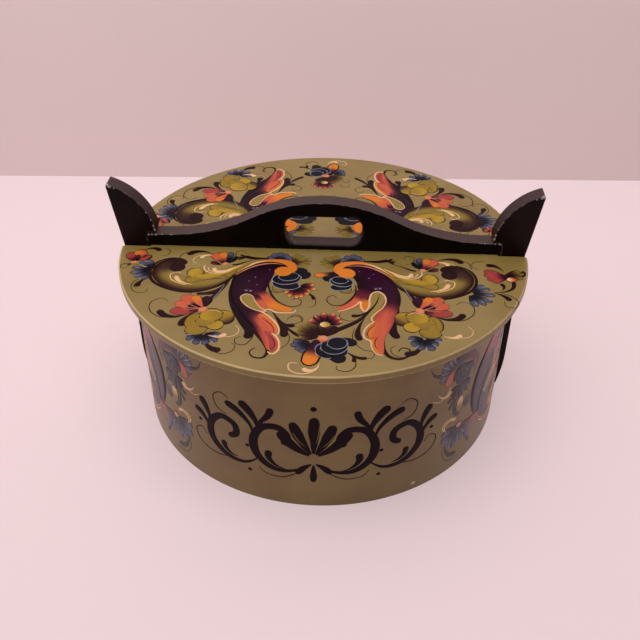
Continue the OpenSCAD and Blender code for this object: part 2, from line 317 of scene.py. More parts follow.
@dataclass(frozen=True)
class OilPaint:
    """Oil paint on wood under satin varnish.

    The eye sees an even ground with slow mottling, the drag of a flat brush as fine streaks, a painted
    sheen that greys the faces that look up in place of the bright room's reflection, arrises where
    hands have rubbed the paint thin, painted highlight hairlines along a round rim, and bare wood on
    the faces that were never painted.
    """

    name: str
    ground: str
    shade: str
    # The colour of rubbed arrises and chips, and also of a rim's painted highlight hairlines
    rubbed: str
    drag: tuple[float, float, float]
    roughness: float = 0.34
    ior: float = 1.48
    wear: float = 0.5
    arris: float = 1.1
    mottle: float = 42
    # The colour of a painted sheen on the faces that look up, in place of the room's reflection; None for
    # none
    upward_sheen: str | None = None
    wood: BareWood | None = None
    bare: BareFace = BareFace.NONE
    bare_limit: float = 0
    rim_r: float = 0
    # The heights of a rim's painted highlight hairlines
    rim_highlight_lines: tuple[float, float] | None = None
    chips: tuple[tuple[float, float, float, float], ...] = ()

    def ground_colour(self, add: Adder, place: NodeSocket, streaks: Node) -> Node:
        """Builds the painted ground with its mottling and brush streaks.

        Args:
            add: Adds a node to the material.
            place: Object coordinates.
            streaks: The brush streaks, 0 to 1.

        Returns:
            The node that gives the colour.
        """
        cloud = add("TexNoise", {"Vector": place, "Scale": per_mm(self.mottle)[0], "Detail": 3.0})
        blotch = add("MapRange", {0: cloud, 1: 0.35, 2: 0.65, 3: 0.0, 4: 1.0})
        body = add("Mix", {0: blotch, 6: linear(self.shade), 7: linear(self.ground)}, data_type="RGBA")
        fine = add("MapRange", {0: streaks, 1: 0.3, 2: 0.75, 3: 0.0, 4: 0.34})
        dragged = add("Mix", {0: fine, 6: body, 7: linear(self.shade)}, data_type="RGBA")
        if self.upward_sheen is None:
            return dragged
        # Painted sheen: the faces that look up turn greyer, standing in for the reflection of the bright room
        up = add("SeparateXYZ", {0: add("NewGeometry").outputs["Normal"]}).outputs["Z"]
        facing_up = add("MapRange", {0: up, 1: 0.15, 2: 0.85, 3: 0.0, 4: 1.0})
        thin = add("MapRange", {0: streaks, 1: 0.2, 2: 0.8, 3: 0.85, 4: 1.0})
        share = add("Math", {0: facing_up, 1: thin}, operation="MULTIPLY")
        return add("Mix", {0: share, 6: dragged, 7: linear(self.upward_sheen)}, data_type="RGBA")

    def rubbed_mask(self, add: Adder, place: NodeSocket) -> Node:
        """Builds the mask of arrises where the paint is rubbed off in patches.

        Args:
            add: Adds a node to the material.
            place: Object coordinates.

        Returns:
            The node that gives the mask.
        """
        eased = add("Bevel", {"Radius": self.arris * MM}, samples=4)
        true = add("NewGeometry").outputs["True Normal"]
        turned = add("VectorMath", {0: eased, 1: true}, operation="DOT_PRODUCT")
        edge = add("MapRange", {0: turned, 1: 0.993, 2: 0.95, 3: 0.0, 4: 1.0})
        patchy = add("TexNoise", {"Vector": place, "Scale": per_mm(5)[0], "Detail": 4.0})
        lost = add("MapRange", {0: patchy, 1: 0.62 - 0.3 * self.wear, 2: 0.72, 3: 0.0, 4: 1.0})
        return add("Math", {0: edge, 1: lost}, operation="MULTIPLY")

    def chipped_mask(self, add: Adder, place: NodeSocket, rub: Node) -> Node:
        """Adds the ragged chips to the mask of rubbed arrises, each given by its place and size.

        Args:
            add: Adds a node to the material.
            place: Object coordinates.
            rub: The mask of rubbed arrises.

        Returns:
            The node that gives the mask.
        """
        ragged = add("TexNoise", {"Vector": place, "Scale": per_mm(1.8)[0], "Detail": 3.0})
        for x, y, z, size in self.chips:
            spot = (x * MM, y * MM, z * MM)
            away = add("VectorMath", {0: place, 1: spot}, operation="DISTANCE")
            reach = add("Math", {0: ragged, 1: 1.6 * size * MM, 2: away}, operation="MULTIPLY_ADD")
            edge = 1.45 * size * MM
            lost = add("MapRange", {0: reach, 1: edge, 2: 1.1 * edge, 3: 1.0, 4: 0.0})
            rub = add("Math", {0: rub, 1: lost}, operation="MAXIMUM")
        return rub

    def radius(self, add: Adder, parts: bpy.types.bpy_prop_collection) -> Node:
        """Adds the nodes for the distance from the Z axis, from the outputs X and Y."""
        flat = add("CombineXYZ", {"X": parts["X"], "Y": parts["Y"]})
        return add("VectorMath", {0: flat}, operation="LENGTH")

    def rim_highlight_mask(self, add: Adder, place: NodeSocket) -> Node:
        """Builds the mask of the painted highlight hairlines along a round rim's arrises, by height and
        radius.

        Args:
            add: Adds a node to the material.
            place: Object coordinates.

        Returns:
            The node that gives the mask.
        """
        parts = add("SeparateXYZ", {0: place}).outputs
        radius = self.radius(add, parts)
        low, high = self.rim_highlight_lines
        middle, half = (low + high) / 2 * MM, (high - low) / 2 * MM
        off = parts["Z"]
        for taken in (middle, half):
            off = add("Math", {0: off, 1: taken}, operation="SUBTRACT")
            off = add("Math", {0: off}, operation="ABSOLUTE")
        mask = add("MapRange", {0: off, 1: 0.3 * MM, 2: 0.6 * MM, 3: 1.0, 4: 0.0})
        edge = self.rim_r * MM
        out = add("MapRange", {0: radius, 1: edge, 2: edge + 0.2 * MM, 3: 0.0, 4: 0.85})
        return add("Math", {0: mask, 1: out}, operation="MULTIPLY")

    def bare_mask(self, add: Adder, place: NodeSocket) -> Node:
        """Builds the mask of the unpainted faces, by radius for the inside and by height for the underside.

        Args:
            add: Adds a node to the material.
            place: Object coordinates.

        Returns:
            The node that gives the mask.
        """
        parts = add("SeparateXYZ", {0: place}).outputs
        measure = parts["Z"] if self.bare is BareFace.UNDERSIDE else self.radius(add, parts)
        limit = self.bare_limit * MM
        return add("MapRange", {0: measure, 1: limit, 2: limit + 0.1 * MM, 3: 1.0, 4: 0.0})

    def make(self) -> Material:
        """Builds the material.

        Returns:
            The material.
        """
        material, add = new_material(self.name)
        place = add("TexCoord").outputs["Object"]
        drawn = add("Mapping", {"Vector": place, "Scale": per_mm(*self.drag)}, vector_type="POINT")
        height = add("TexNoise", {"Vector": drawn, "Scale": 1.0, "Detail": 3.0})
        colour = self.ground_colour(add, place, height)
        rub = self.chipped_mask(add, place, self.rubbed_mask(add, place))
        # The rim's painted highlight hairlines join the rubbed arrises and take their lighter colour
        if self.rim_highlight_lines:
            rub = add("Math", {0: rub, 1: self.rim_highlight_mask(add, place)}, operation="MAXIMUM")
        colour = add("Mix", {0: rub, 6: colour, 7: linear(self.rubbed)}, data_type="RGBA")
        sheen = add(
            "MapRange", {0: height, 1: 0.2, 2: 0.8, 3: self.roughness - 0.04, 4: self.roughness + 0.07}
        )
        dull = add("Math", {0: rub, 1: 0.25, 2: sheen}, operation="MULTIPLY_ADD")
        if self.wood is not None:
            bare = self.bare_mask(add, place)
            figure, grain = self.wood.figure(add, place)
            colour = add("Mix", {0: bare, 6: colour, 7: figure}, data_type="RGBA")
            dull = add("Mix", {0: bare, 2: dull, 3: self.wood.roughness})
            height = add("Mix", {0: bare, 2: height, 3: grain})
        relief = add("Bump", {"Height": height, "Strength": 0.12, "Distance": 0.05 * MM})
        skin = add(
            "BsdfPrincipled",
            {"Base Color": colour, "Roughness": dull, "IOR": self.ior, "Normal": relief},
        )
        add("OutputMaterial", {"Surface": skin})
        return material


# Aged pine with straight grain across the boards, and birch and root in smaller stuff
PINE_BOARD = BareWood("planed_pine_board", "#c9a877", "#a8824f", (160, 3.2, 20))
PINE_STRIP = BareWood("planed_pine_strip", "#c4a06c", "#a37c49", (34, 34, 2.6))
PEG_END = BareWood("whittled_birch_peg", "#c2a171", "#8f6d43", (1.1, 1.1, 1.1))
SPLIT_ROOT = BareWood("split_spruce_root", "#b98d55", "#7c5830", (1.2, 1.2, 9), roughness=0.5)

# The lid's olive, and a darker copy of it on the wall as painted shade, each dragged along its
# surface, and a plum black so dark that only its painted sheen on the upper faces and its rubbed
# arrises show a tone
OLIVE_LID = OilPaint(
    "olive_oil_paint_on_lid", "#88743c", "#7a6633", "#c2a978", (70, 0.9, 70), arris=0.7,
    wood=PINE_BOARD, bare=BareFace.UNDERSIDE,
)
# The wall's olive is the lid's made darker: painted shade for the upright wall
OLIVE_WALL_IN_PAINTED_SHADE = OilPaint(
    "olive_oil_paint_in_painted_shade_on_bent_wall", "#806b37", "#745a30", "#a88d55", (60, 60, 0.9), arris=0.6,
    wood=PINE_STRIP, bare=BareFace.INSIDE,
)
# The plum paints grey their upward faces with a painted sheen, in place of the room's reflection
PLUM_POST = OilPaint(
    "plum_black_oil_paint_on_posts", "#1f090a", "#0d0304", "#a39b96", (5, 5, 60),
    roughness=0.36, ior=1.2, wear=0.5, arris=0.8, upward_sheen="#3f3130",
    chips=tuple(
        (side * x, -6.5, z, size)
        for side in (-1, 1)
        for x, z, size in (
            (154.2, 176.4, 1.9), (152.6, 174.8, 1.2), (149.4, 173.9, 0.8), (123.8, 140.6, 1.5),
            (124.4, 144.2, 1.3), (125.8, 149.0, 1.0), (128.6, 155.0, 0.8), (155.0, 172.0, 0.9),
        )
    ),
)
PLUM_HANDLE = OilPaint(
    "plum_black_oil_paint_on_handle", "#070102", "#040101", "#a39b96", (60, 8, 0.9),
    roughness=0.36, ior=1.22, wear=0.3, arris=0.8, upward_sheen="#463835",
    chips=(
        (-129.6, -6.2, 136.7, 1.6), (-126.8, -6.2, 136.7, 1.4), (-123.8, -6.2, 136.7, 1.2),
        (-119.0, -6.2, 136.8, 0.7), (-112.5, -6.2, 136.9, 0.9), (128.8, -6.2, 136.7, 1.5),
        (125.4, -6.2, 136.7, 1.1), (118.0, -6.2, 136.8, 0.8),
    ),
)
# The peg ends take the wall's darker olive, the same painted shade
OLIVE_PEG = OilPaint("olive_oil_paint_on_peg_ends", "#806b37", "#6c5a31", "#c9b48c", (3, 3, 3), arris=0.3)


# ---- rosemaling ----

Point = tuple[float, float]
Profile = tuple[Point, ...]
Ends = tuple[bool, bool]


class Paint(Enum):
    """The decorator's oil colours, as they have dried under the varnish."""

    GROUND = "#88743c"
    SOOT = "#16040d"
    PLUM = "#2b0620"
    WINE = "#5c1a26"
    UMBER = "#220a0c"
    UMBER_SOFT = "#38211a"
    CORAL = "#b9583c"
    ROSE = "#973c38"
    ORANGE = "#cb7426"
    OCHRE = "#8a6f27"
    GOLD = "#a3842a"
    OLIVE = "#7d6a2c"
    INDIGO = "#0e0f18"
    BLUE_GREY = "#4f5063"
    BLUE_PALE = "#868794"
    CREAM = "#dab184"
    FLESH = "#c67f5c"


# The paints by their bare names, as the strokes below call them
(
    GROUND, SOOT, PLUM, WINE, UMBER, UMBER_SOFT, CORAL, ROSE, ORANGE, OCHRE, GOLD, OLIVE,
    INDIGO, BLUE_GREY, BLUE_PALE, CREAM, FLESH,
) = Paint

# How a stroke's width goes along it, as shares of its length and of its width
COMMA: Profile = ((0, 0.8), (0.1, 1), (0.25, 0.95), (0.5, 0.62), (0.8, 0.28), (1, 0.08))
HAIR_LINE: Profile = ((0, 0.5), (0.2, 1), (0.6, 0.9), (1, 0.6))
PETAL: Profile = ((0, 0.22), (0.3, 0.68), (0.62, 1), (0.85, 0.9), (1, 0.62))
OUTER_CURL: Profile = ((0, 0.2), (0.3, 1), (0.55, 0.75), (0.8, 0.35), (1, 0.2))
INNER_LINE: Profile = ((0, 0.3), (0.35, 1), (0.55, 0.5), (1, 0.25))
VINE: Profile = ((0, 0.1), (0.2, 0.5), (0.5, 1), (0.75, 0.75), (0.93, 0.8), (1, 0.7))


@dataclass(frozen=True)
class Load:
    """The colours on the brush: left, middle and right of it, at shares of the stroke's length."""

    keys: tuple[tuple[float, Paint, Paint, Paint], ...]

    @staticmethod
    def along(*stops: tuple[float, Paint]) -> "Load":
        """Even colours, each at its share of the stroke's length."""
        return Load(tuple((share, paint, paint, paint) for share, paint in stops))

    @staticmethod
    def fade(first: Paint, last: Paint, start: float = 0.2, end: float = 0.8) -> "Load":
        """One colour that turns into another along the stroke."""
        return Load.along((start, first), (end, last))

    @staticmethod
    def across(left: Paint, middle: Paint, right: Paint) -> "Load":
        """A brush loaded with different colours from side to side."""
        return Load(((0, left, middle, right),))

    def colours(self, along: np.ndarray, across: np.ndarray, mirrored: bool) -> np.ndarray:
        """The blended colours over a stroke.

        Args:
            along: Shares of the length, one per row.
            across: Places from -1, the right side, to 1, the left side, one per column.
            mirrored: Whether left and right change places.

        Returns:
            Linear colours, rows by columns by 4.
        """
        sides = np.array([[srgb(p.value) for p in (key[3], key[2], key[1])] for key in self.keys])
        if mirrored:
            sides = sides[:, ::-1]
        stops = np.array([key[0] for key in self.keys], float)
        spot = np.clip(np.searchsorted(stops, along, "right") - 1, 0, max(len(stops) - 2, 0))
        after = np.minimum(spot + 1, len(stops) - 1)
        gap = np.maximum(stops[after] - stops[spot], 1e-6)
        share = smooth(np.clip((along - stops[spot]) / gap, 0, 1))[:, None, None]
        rows = sides[spot] * (1 - share) + sides[after] * share
        side = smooth(np.abs(across))[None, :, None]
        outer = np.where((across < 0)[None, :, None], rows[:, 0:1], rows[:, 2:3])
        blend = rows[:, 1:2] * (1 - side) + outer * side
        light = np.where(blend <= 0.04045, blend / 12.92, ((blend + 0.055) / 1.055) ** 2.4)
        return np.concatenate([light, np.ones(light.shape[:2] + (1,))], 2)


def srgb(hex_colour: str) -> tuple[float, ...]:
    """Reads a hex colour as sRGB shares from 0 to 1."""
    return tuple(int(hex_colour[i : i + 2], 16) / 255 for i in (1, 3, 5))


def smooth(share: np.ndarray) -> np.ndarray:
    """Eases shares from 0 to 1 in and out."""
    return share * share * (3 - 2 * share)


def smooth_line(points: np.ndarray, dense: int = 14) -> np.ndarray:
    """A smooth curve through points, by centripetal Catmull-Rom.

    Args:
        points: Rows of x, y and any further values that follow along.
        dense: Samples between two points.

    Returns:
        The samples, in the same columns.
    """
    knots = np.concatenate([[0], np.cumsum(np.sqrt(np.hypot(*np.diff(points[:, :2], axis=0).T)))])
    slope = np.diff(points, axis=0) / np.diff(knots)[:, None]
    span = np.diff(knots)[:, None]
    inner = (slope[:-1] * span[1:] + slope[1:] * span[:-1]) / (span[:-1] + span[1:])
    if len(points) > 2:
        tangent = np.vstack([1.5 * slope[0] - 0.5 * inner[0], inner, 1.5 * slope[-1] - 0.5 * inner[-1]])
    else:
        tangent = np.vstack([slope, slope])
    share = np.linspace(0, 1, dense, endpoint=False)[:, None]
    s2, s3 = share**2, share**3
    parts = [
        points[i] * (2 * s3 - 3 * s2 + 1)
        + tangent[i] * span[i] * (s3 - 2 * s2 + share)
        + points[i + 1] * (3 * s2 - 2 * s3)
        + tangent[i + 1] * span[i] * (s3 - s2)
        for i in range(len(points) - 1)
    ]
    return np.vstack([*parts, points[-1:]])


@dataclass(frozen=True)
class Placing:
    """Where a group of strokes goes: mirrored, scaled and turned about its pivot, then set down."""

    at: Point = (0, 0)
    pivot: Point = (0, 0)
    turn: float = 0
    size: float = 1
    flip: tuple[int, int] = (1, 1)

    def move(self, points: np.ndarray) -> np.ndarray:
        """Places points.

        Args:
            points: Rows of x and y.

        Returns:
            The rows where they go.
        """
        a = math.radians(self.turn)
        x, y = ((points - np.array(self.pivot)) * np.array(self.flip) * self.size).T
        turned = [x * math.cos(a) - y * math.sin(a), x * math.sin(a) + y * math.cos(a)]
        return np.stack(turned, 1) + np.array(self.at)


@dataclass
class Ground:
    """A painted surface that strokes are laid on. The base class is flat, at height z."""

    z: float = 127.4

    def place(self, points: np.ndarray, height: np.ndarray) -> np.ndarray:
        """Takes rows of x and y with a height over the surface into space, in millimetres."""
        return np.column_stack([points, self.z + height])


@dataclass
class RoundGround(Ground):
    """The outside of the wall, unrolled: x is the length round it from +X, and y the height."""

    radius: float = 140

    def place(self, points: np.ndarray, height: np.ndarray) -> np.ndarray:
        """Rolls rows of length and height back round the wall."""
        angle = points[:, 0] / self.radius
        r = self.radius + height
        return np.column_stack([r * np.cos(angle), r * np.sin(angle), points[:, 1]])


@dataclass
class Film:
    """One stroke's dried paint: a closed film a few hundredths of a millimetre thick."""

    centre: np.ndarray
    left: np.ndarray
    half: np.ndarray
    run: np.ndarray
    across: np.ndarray
    colour: np.ndarray
    base: float
    crest: float

    @property
    def width(self) -> float:
        """The widest place."""
        return float(2 * self.half.max())


@dataclass
class Brushwork:
    """A decorator's strokes on one ground, in millimetres, and the mesh they dry to.

    A film is closed below the surface, at `sunk`. Its edge lies at `foot`, higher by `coat` for each
    coat under it, and by `stagger` for each of the last strokes, so that no two lie at one height. Its
    middle rises by a crest, which is lower where the half width is over `broad`. On the square map
    that a bake uses, a film's top lies at its own size, and its sides, underside and ends in thin
    lanes beside it.
    """

    ground: Ground
    seed: int
    fine_step: float = 0.7
    broad_step: float = 1.3
    foot: float = 0.03
    coat: float = 0.012
    sunk: float = -0.03
    gap: float = 0.35
    stagger: float = 0.0002
    staggered: int = 25
    broad: float = 1.3
    very_broad: float = 3
    broad_crest: float = 0.008
    fine_crest: float = 0.014
    hair: float = 0.03
    spread: float = 1.25
    unevenness: float = 0.12
    tone_share: float = 0.05
    least_half: float = 0.05
    round_share: float = 0.45
    lobe_rim: float = 0.75
    lobe_end: float = 0.12
    lane: float = 0.1
    lane_width: float = 0.08
    cap_in: float = 0.06
    cap_r: float = 0.05
    films: list[Film] = field(default_factory=list)
    placings: list[Placing] = field(default_factory=list)

    def __post_init__(self) -> None:
        """Seeds the hand's small unevenness."""
        self.hand = random.Random(self.seed)

    def ribbon(
        self, line: np.ndarray, load: Load | Paint, layer: float, rim: float = 0, soft: Ends = (True, True)
    ) -> None:
        """Lays one stroke.

        Args:
            line: Rows of x, y and full width.
            load: The brush's colours, or its one colour.
            layer: How many coats lie under it.
            rim: How far it reaches past its width on every side, for an outline under another stroke.
            soft: Whether the start and the end are round.
        """
        if isinstance(load, Paint):
            load = Load.along((0, load))
        xy, half, mirrored = line[:, :2], line[:, 2] / 2, False
        for placing in reversed(self.placings):
            xy, half = placing.move(xy), half * placing.size
            mirrored ^= placing.flip[0] * placing.flip[1] < 0
        half = np.maximum(half + rim, self.least_half)
        step = np.hypot(*np.diff(xy, axis=0).T)
        run = np.concatenate([[0], np.cumsum(step)])
        length = run[-1]
        tangent = np.gradient(xy, run, axis=0)
        tangent /= np.hypot(*tangent.T)[:, None]
        if rim:
            xy = np.vstack([xy[:1] - tangent[:1] * rim, xy, xy[-1:] + tangent[-1:] * rim])
            tangent = np.vstack([tangent[:1], tangent, tangent[-1:]])
            half = np.concatenate([half[:1], half, half[-1:]])
            run = np.concatenate([[0], run + rim, [length + 2 * rim]])
            length += 2 * rim
        longest = self.round_share * length
        ends = [min(half[-i], longest) if on else 0.0 for i, on in enumerate(soft)]
        broad = half.max() > self.broad
        pace = self.broad_step if broad else self.fine_step
        turn = 1 - np.cos(np.linspace(0, math.pi / 2, 6 if broad else 4))
        body = np.linspace(ends[0], length - ends[1], max(2, round((length - sum(ends)) / pace) + 1))
        start = ends[0] * turn[:-1] if soft[0] else np.zeros(0)
        final = (length - ends[1] * turn[:-1])[::-1] if soft[1] else np.zeros(0)
        at = np.concatenate([start, body, final])
        wide = np.interp(at, run, half)
        for share, on in ((at / max(ends[0], 1e-9), soft[0]), ((length - at) / max(ends[1], 1e-9), soft[1])):
            if on:
                wide = wide * np.sqrt(np.clip(1 - (1 - np.clip(share, 0, 1)) ** 2, 0, 1))
        wide = np.maximum(wide, self.hair)
        centre = np.column_stack([np.interp(at, run, xy[:, i]) for i in (0, 1)])
        way = np.column_stack([np.interp(at, run, tangent[:, i]) for i in (0, 1)])
        way /= np.hypot(*way.T)[:, None]
        left = np.column_stack([-way[:, 1], way[:, 0]])
        across = np.linspace(-1, 1, 9 if half.max() > self.very_broad else 5 if broad else 3)
        tone = 1 + self.hand.uniform(-self.tone_share, self.tone_share)
        colour = load.colours(at / length, across, mirrored) * np.array([tone, tone, tone, 1])
        base = self.foot + self.coat * layer + self.stagger * (len(self.films) % self.staggered)
        crest = self.broad_crest if broad else self.fine_crest
        self.films.append(Film(centre, left, wide, at, across, colour, base, crest))

    def lay(
        self, points: list[Spot], load: Load | Paint, layer: float, edge: Paint | None = None,
        rim: float = 0.4, soft: Ends = (True, True),
    ) -> None:
        """Lays a broad stroke.

        Args:
            points: Points of x, y and width along it.
            load: The brush's colours.
            layer: How many coats lie under it.
            edge: The outline's colour, where it has one.
            rim: The outline's width.
            soft: Whether the start and the end are round.
        """
        sway = self.unevenness
        wobble = [(self.hand.gauss(0, sway), self.hand.gauss(0, sway), 0) for _ in points]
        line = smooth_line(np.array(points, float) + np.array(wobble))
        if edge is not None:
            self.ribbon(line, edge, layer - 0.5, rim, soft)
        self.ribbon(line, load, layer, 0, soft)

    def shaped(
        self, points: list[Point], width: float, profile: Profile, load: Load | Paint, layer: float,
        edge: Paint | None = None, rim: float = 0.4, soft: Ends = (True, True),
    ) -> None:
        """Lays a stroke whose width follows a profile.

        Args:
            points: Points along it.
            width: Its greatest width.
            profile: How the width goes.
            load: The brush's colours.
            layer: How many coats lie under it.
            edge: The outline's colour, where it has one.
            rim: The outline's width.
            soft: Whether the start and the end are round.
        """
        path = smooth_line(np.array([(x, y, 0) for x, y in points], float))
        run = np.concatenate([[0], np.cumsum(np.hypot(*np.diff(path[:, :2], axis=0).T))])
        stops, shares = zip(*profile)
        path[:, 2] = width * np.interp(run / run[-1], stops, shares)
        if edge is not None:
            self.ribbon(path, edge, layer - 0.5, rim, soft)
        self.ribbon(path, load, layer, 0, soft)

    def comma(self, points: list[Point], width: float, paint: Paint = UMBER, layer: float = 2) -> None:
        """A comma stroke, from its round head to its hair-thin tail."""
        self.shaped(points, self.spread * width, COMMA, paint, layer)

    def tendril(
        self, points: list[Point], width: float = 0.5, paint: Paint = UMBER, layer: float = 1,
    ) -> None:
        """A hair line pulled with a liner brush."""
        self.shaped(points, self.spread * width, HAIR_LINE, paint, layer)

    def petal(
        self, base: Point, tip: Point, width: float, load: Load | Paint, layer: float = 3,
        edge: Paint | None = UMBER, bend: float = 0, rim: float = 0.5,
    ) -> None:
        """A petal from its base to its round tip.

        Args:
            base: Where it starts.
            tip: Where it ends.
            width: Its greatest width.
            load: The brush's colours, from base to tip.
            layer: How many coats lie under it.
            edge: The outline's colour.
            bend: How far its middle lies to the left, as a share of its length.
            rim: The outline's width.
        """
        dx, dy = tip[0] - base[0], tip[1] - base[1]
        middle = ((base[0] + tip[0]) / 2 - bend * dy, (base[1] + tip[1]) / 2 + bend * dx)
        self.shaped([base, middle, tip], width, PETAL, load, layer, edge, rim)

    def lobe(
        self, centre: Point, rx: float, ry: float, turn: float, load: Load | Paint, layer: float = 3,
        edge: Paint | None = UMBER,
    ) -> None:
        """A round lobe.

        Args:
            centre: Its middle.
            rx: Its half length.
            ry: Its half width.
            turn: The direction of its length, in degrees.
            load: The brush's colours, along it.
            layer: How many coats lie under it.
            edge: The outline's colour, where it has one.
        """
        a = math.radians(turn)
        ends = [(centre[0] + s * rx * math.cos(a), centre[1] + s * rx * math.sin(a)) for s in (-1, 0, 1)]
        steps = np.linspace(0, 1, 15)
        profile = tuple((float(s), max(self.lobe_end,
            math.sqrt(max(0, 1 - (2 * s - 1) ** 2)))) for s in steps)
        self.shaped(ends, 2 * ry, profile, load, layer, edge, self.lobe_rim)

    def fan(
        self, centre: Point, toward: float, spread: float, count: int, length: float, width: float,
        load: Load | Paint, layer: float = 3, edge: Paint | None = None, start: float = 0.12,
    ) -> None:
        """Petals spread like a fan, the outer ones laid first.

        Args:
            centre: Where they meet.
            toward: The middle petal's direction, in degrees.
            spread: The angle between the outermost two.
            count: How many there are.
            length: The middle petal's length.
            width: A petal's width.
            load: The brush's colours, from base to tip.
            layer: How many coats lie under the first.
            edge: The outlines' colour.
            start: How far from the centre they start, as a share of their length.
        """
        order = sorted(range(count), key=lambda i: -abs(i - (count - 1) / 2))
        for rank, i in enumerate(order):
            off = (i - (count - 1) / 2) / max(1, count - 1)
            a = math.radians(toward + spread * off + self.hand.gauss(0, 2))
            reach = length * (1 - 0.3 * abs(off)) * (1 + self.hand.gauss(0, 0.04))
            base = (centre[0] + reach * start * math.cos(a), centre[1] + reach * start * math.sin(a))
            tip = (centre[0] + reach * math.cos(a), centre[1] + reach * math.sin(a))
            self.petal(base, tip, width, load, layer + 0.35 * rank, edge, 0.12 * off, 0.4)

    def dot(self, centre: Point, radius: float, paint: Paint, layer: float = 5) -> None:
        """A dab from the brush's end."""
        self.lobe(centre, radius, radius, 0, paint, layer, None)

    def packed(self) -> tuple[list[tuple[float, float]], float]:
        """Sets the straightened strokes side by side on a square map.

        Returns:
            Each film's corner on the map and the map's side, in millimetres.
        """
        order = sorted(range(len(self.films)), key=lambda i: -self.films[i].width)
        sizes = [(f.run[-1] + self.gap, f.width + 3 * self.gap) for f in self.films]
        side = max(max(s[0] for s in sizes), math.sqrt(sum(a * b for a, b in sizes)))
        while True:
            spots, x, y, tall = [(0.0, 0.0)] * len(sizes), 0.0, 0.0, 0.0
            for i in order:
                if x + sizes[i][0] > side:
                    x, y, tall = 0.0, y + tall, 0.0
                spots[i] = (x, y)
                x, tall = x + sizes[i][0], max(tall, sizes[i][1])
            if y + tall <= side:
                return spots, side
            side *= 1.02

    def dry(self, name: str, body: str, material: Material) -> None:
        """Makes the strokes one piece.

        Args:
            name: The piece's name.
            body: The CAD body that it rides on.
            material: Its material.
        """
        spots, side = self.packed()
        points, colours, brush, faces, flat, maps, first = [], [], [], [], [], [], 0
        for film, (u0, v0) in zip(self.films, spots):
            rows, columns = film.colour.shape[:2]
            offset = film.half[:, None] * film.across[None, :]
            top = film.centre[:, None] + film.left[:, None] * offset[:, :, None]
            lift = film.base + film.crest * (1 - film.across**2)
            under = top[:, [0, -1]]
            flat_points = np.concatenate([top.reshape(-1, 2), under.reshape(-1, 2)])
            heights = np.concatenate([np.tile(lift, rows), np.full(2 * rows, self.sunk)])
            points.append(self.ground.place(flat_points, heights) * MM)
            sides = film.colour[:, [0, -1]]
            colours.append(np.concatenate([film.colour.reshape(-1, 4), sides.reshape(-1, 4)]))
            run = np.repeat(film.run, columns)
            brush.append(np.concatenate([np.column_stack([run, offset.ravel()]), np.zeros((2 * rows, 2))]))
            place = np.column_stack([u0 + run, v0 + film.width / 2 + offset.ravel()])
            low = first + rows * columns
            for i in range(rows - 1):
                a, b = first + i * columns, first + (i + 1) * columns
                for j in range(columns - 1):
                    quad = (a + j, b + j, b + j + 1, a + j + 1)
                    faces.append(quad)
                    flat.append(False)
                    maps.append([tuple(place[k - first]) for k in quad])
                p, q = low + 2 * i, low + 2 * (i + 1)
                strip = v0 + film.width + self.gap
                left, right = u0 + film.run[i], u0 + film.run[i + 1]
                rest = ((a, p, q, b), (b + columns - 1, q + 1, p + 1, a + columns - 1), (p, p + 1, q + 1, q))
                for k, quad in enumerate(rest):
                    faces.append(quad)
                    flat.append(True)
                    s = strip + self.lane * k
                    t = s + self.lane_width
                    maps.append([(left, s), (right, s), (right, t), (left, t)])
            end = first + (rows - 1) * columns
            caps = [
                tuple(range(first, first + columns)) + (low + 1, low),
                tuple(range(end + columns - 1, end - 1, -1)) + (low + 2 * rows - 2, low + 2 * rows - 1),
            ]
            for cap in caps:
                faces.append(cap)
                flat.append(True)
                u, v, r = u0 + self.cap_in, strip + 4 * self.lane, self.cap_r
                spin = [2 * math.pi * k / len(cap) for k in range(len(cap))]
                maps.append([(u + r * math.cos(s), v + r * math.sin(s)) for s in spin])
            first += len(flat_points)
        mesh = bpy.data.meshes.new(name)
        mesh.from_pydata(np.vstack(points), [], faces)
        mesh.polygons.foreach_set("use_smooth", [not f for f in flat])
        tint = mesh.attributes.new("oil_colour", "FLOAT_COLOR", "POINT")
        tint.data.foreach_set("color", np.vstack(colours).astype(np.float32).ravel())
        corners = np.empty(len(mesh.loops), np.int32)
        mesh.loops.foreach_get("vertex_index", corners)
        bake = mesh.uv_layers.new(name="OFBake")
        spread_out = np.array([corner for face in maps for corner in face]) / side
        bake.data.foreach_set("uv", spread_out.astype(np.float32).ravel())
        hairs = mesh.uv_layers.new(name="bristles")
        hairs.data.foreach_set("uv", np.vstack(brush)[corners].astype(np.float32).ravel())
        mesh.materials.append(material)
        mesh.update()
        piece = bpy.data.objects.new(name, mesh)
        bpy.context.scene.collection.objects.link(piece)
        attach(piece, body)
        log.info("%s: %d strokes, %d faces", name, len(self.films), len(faces))


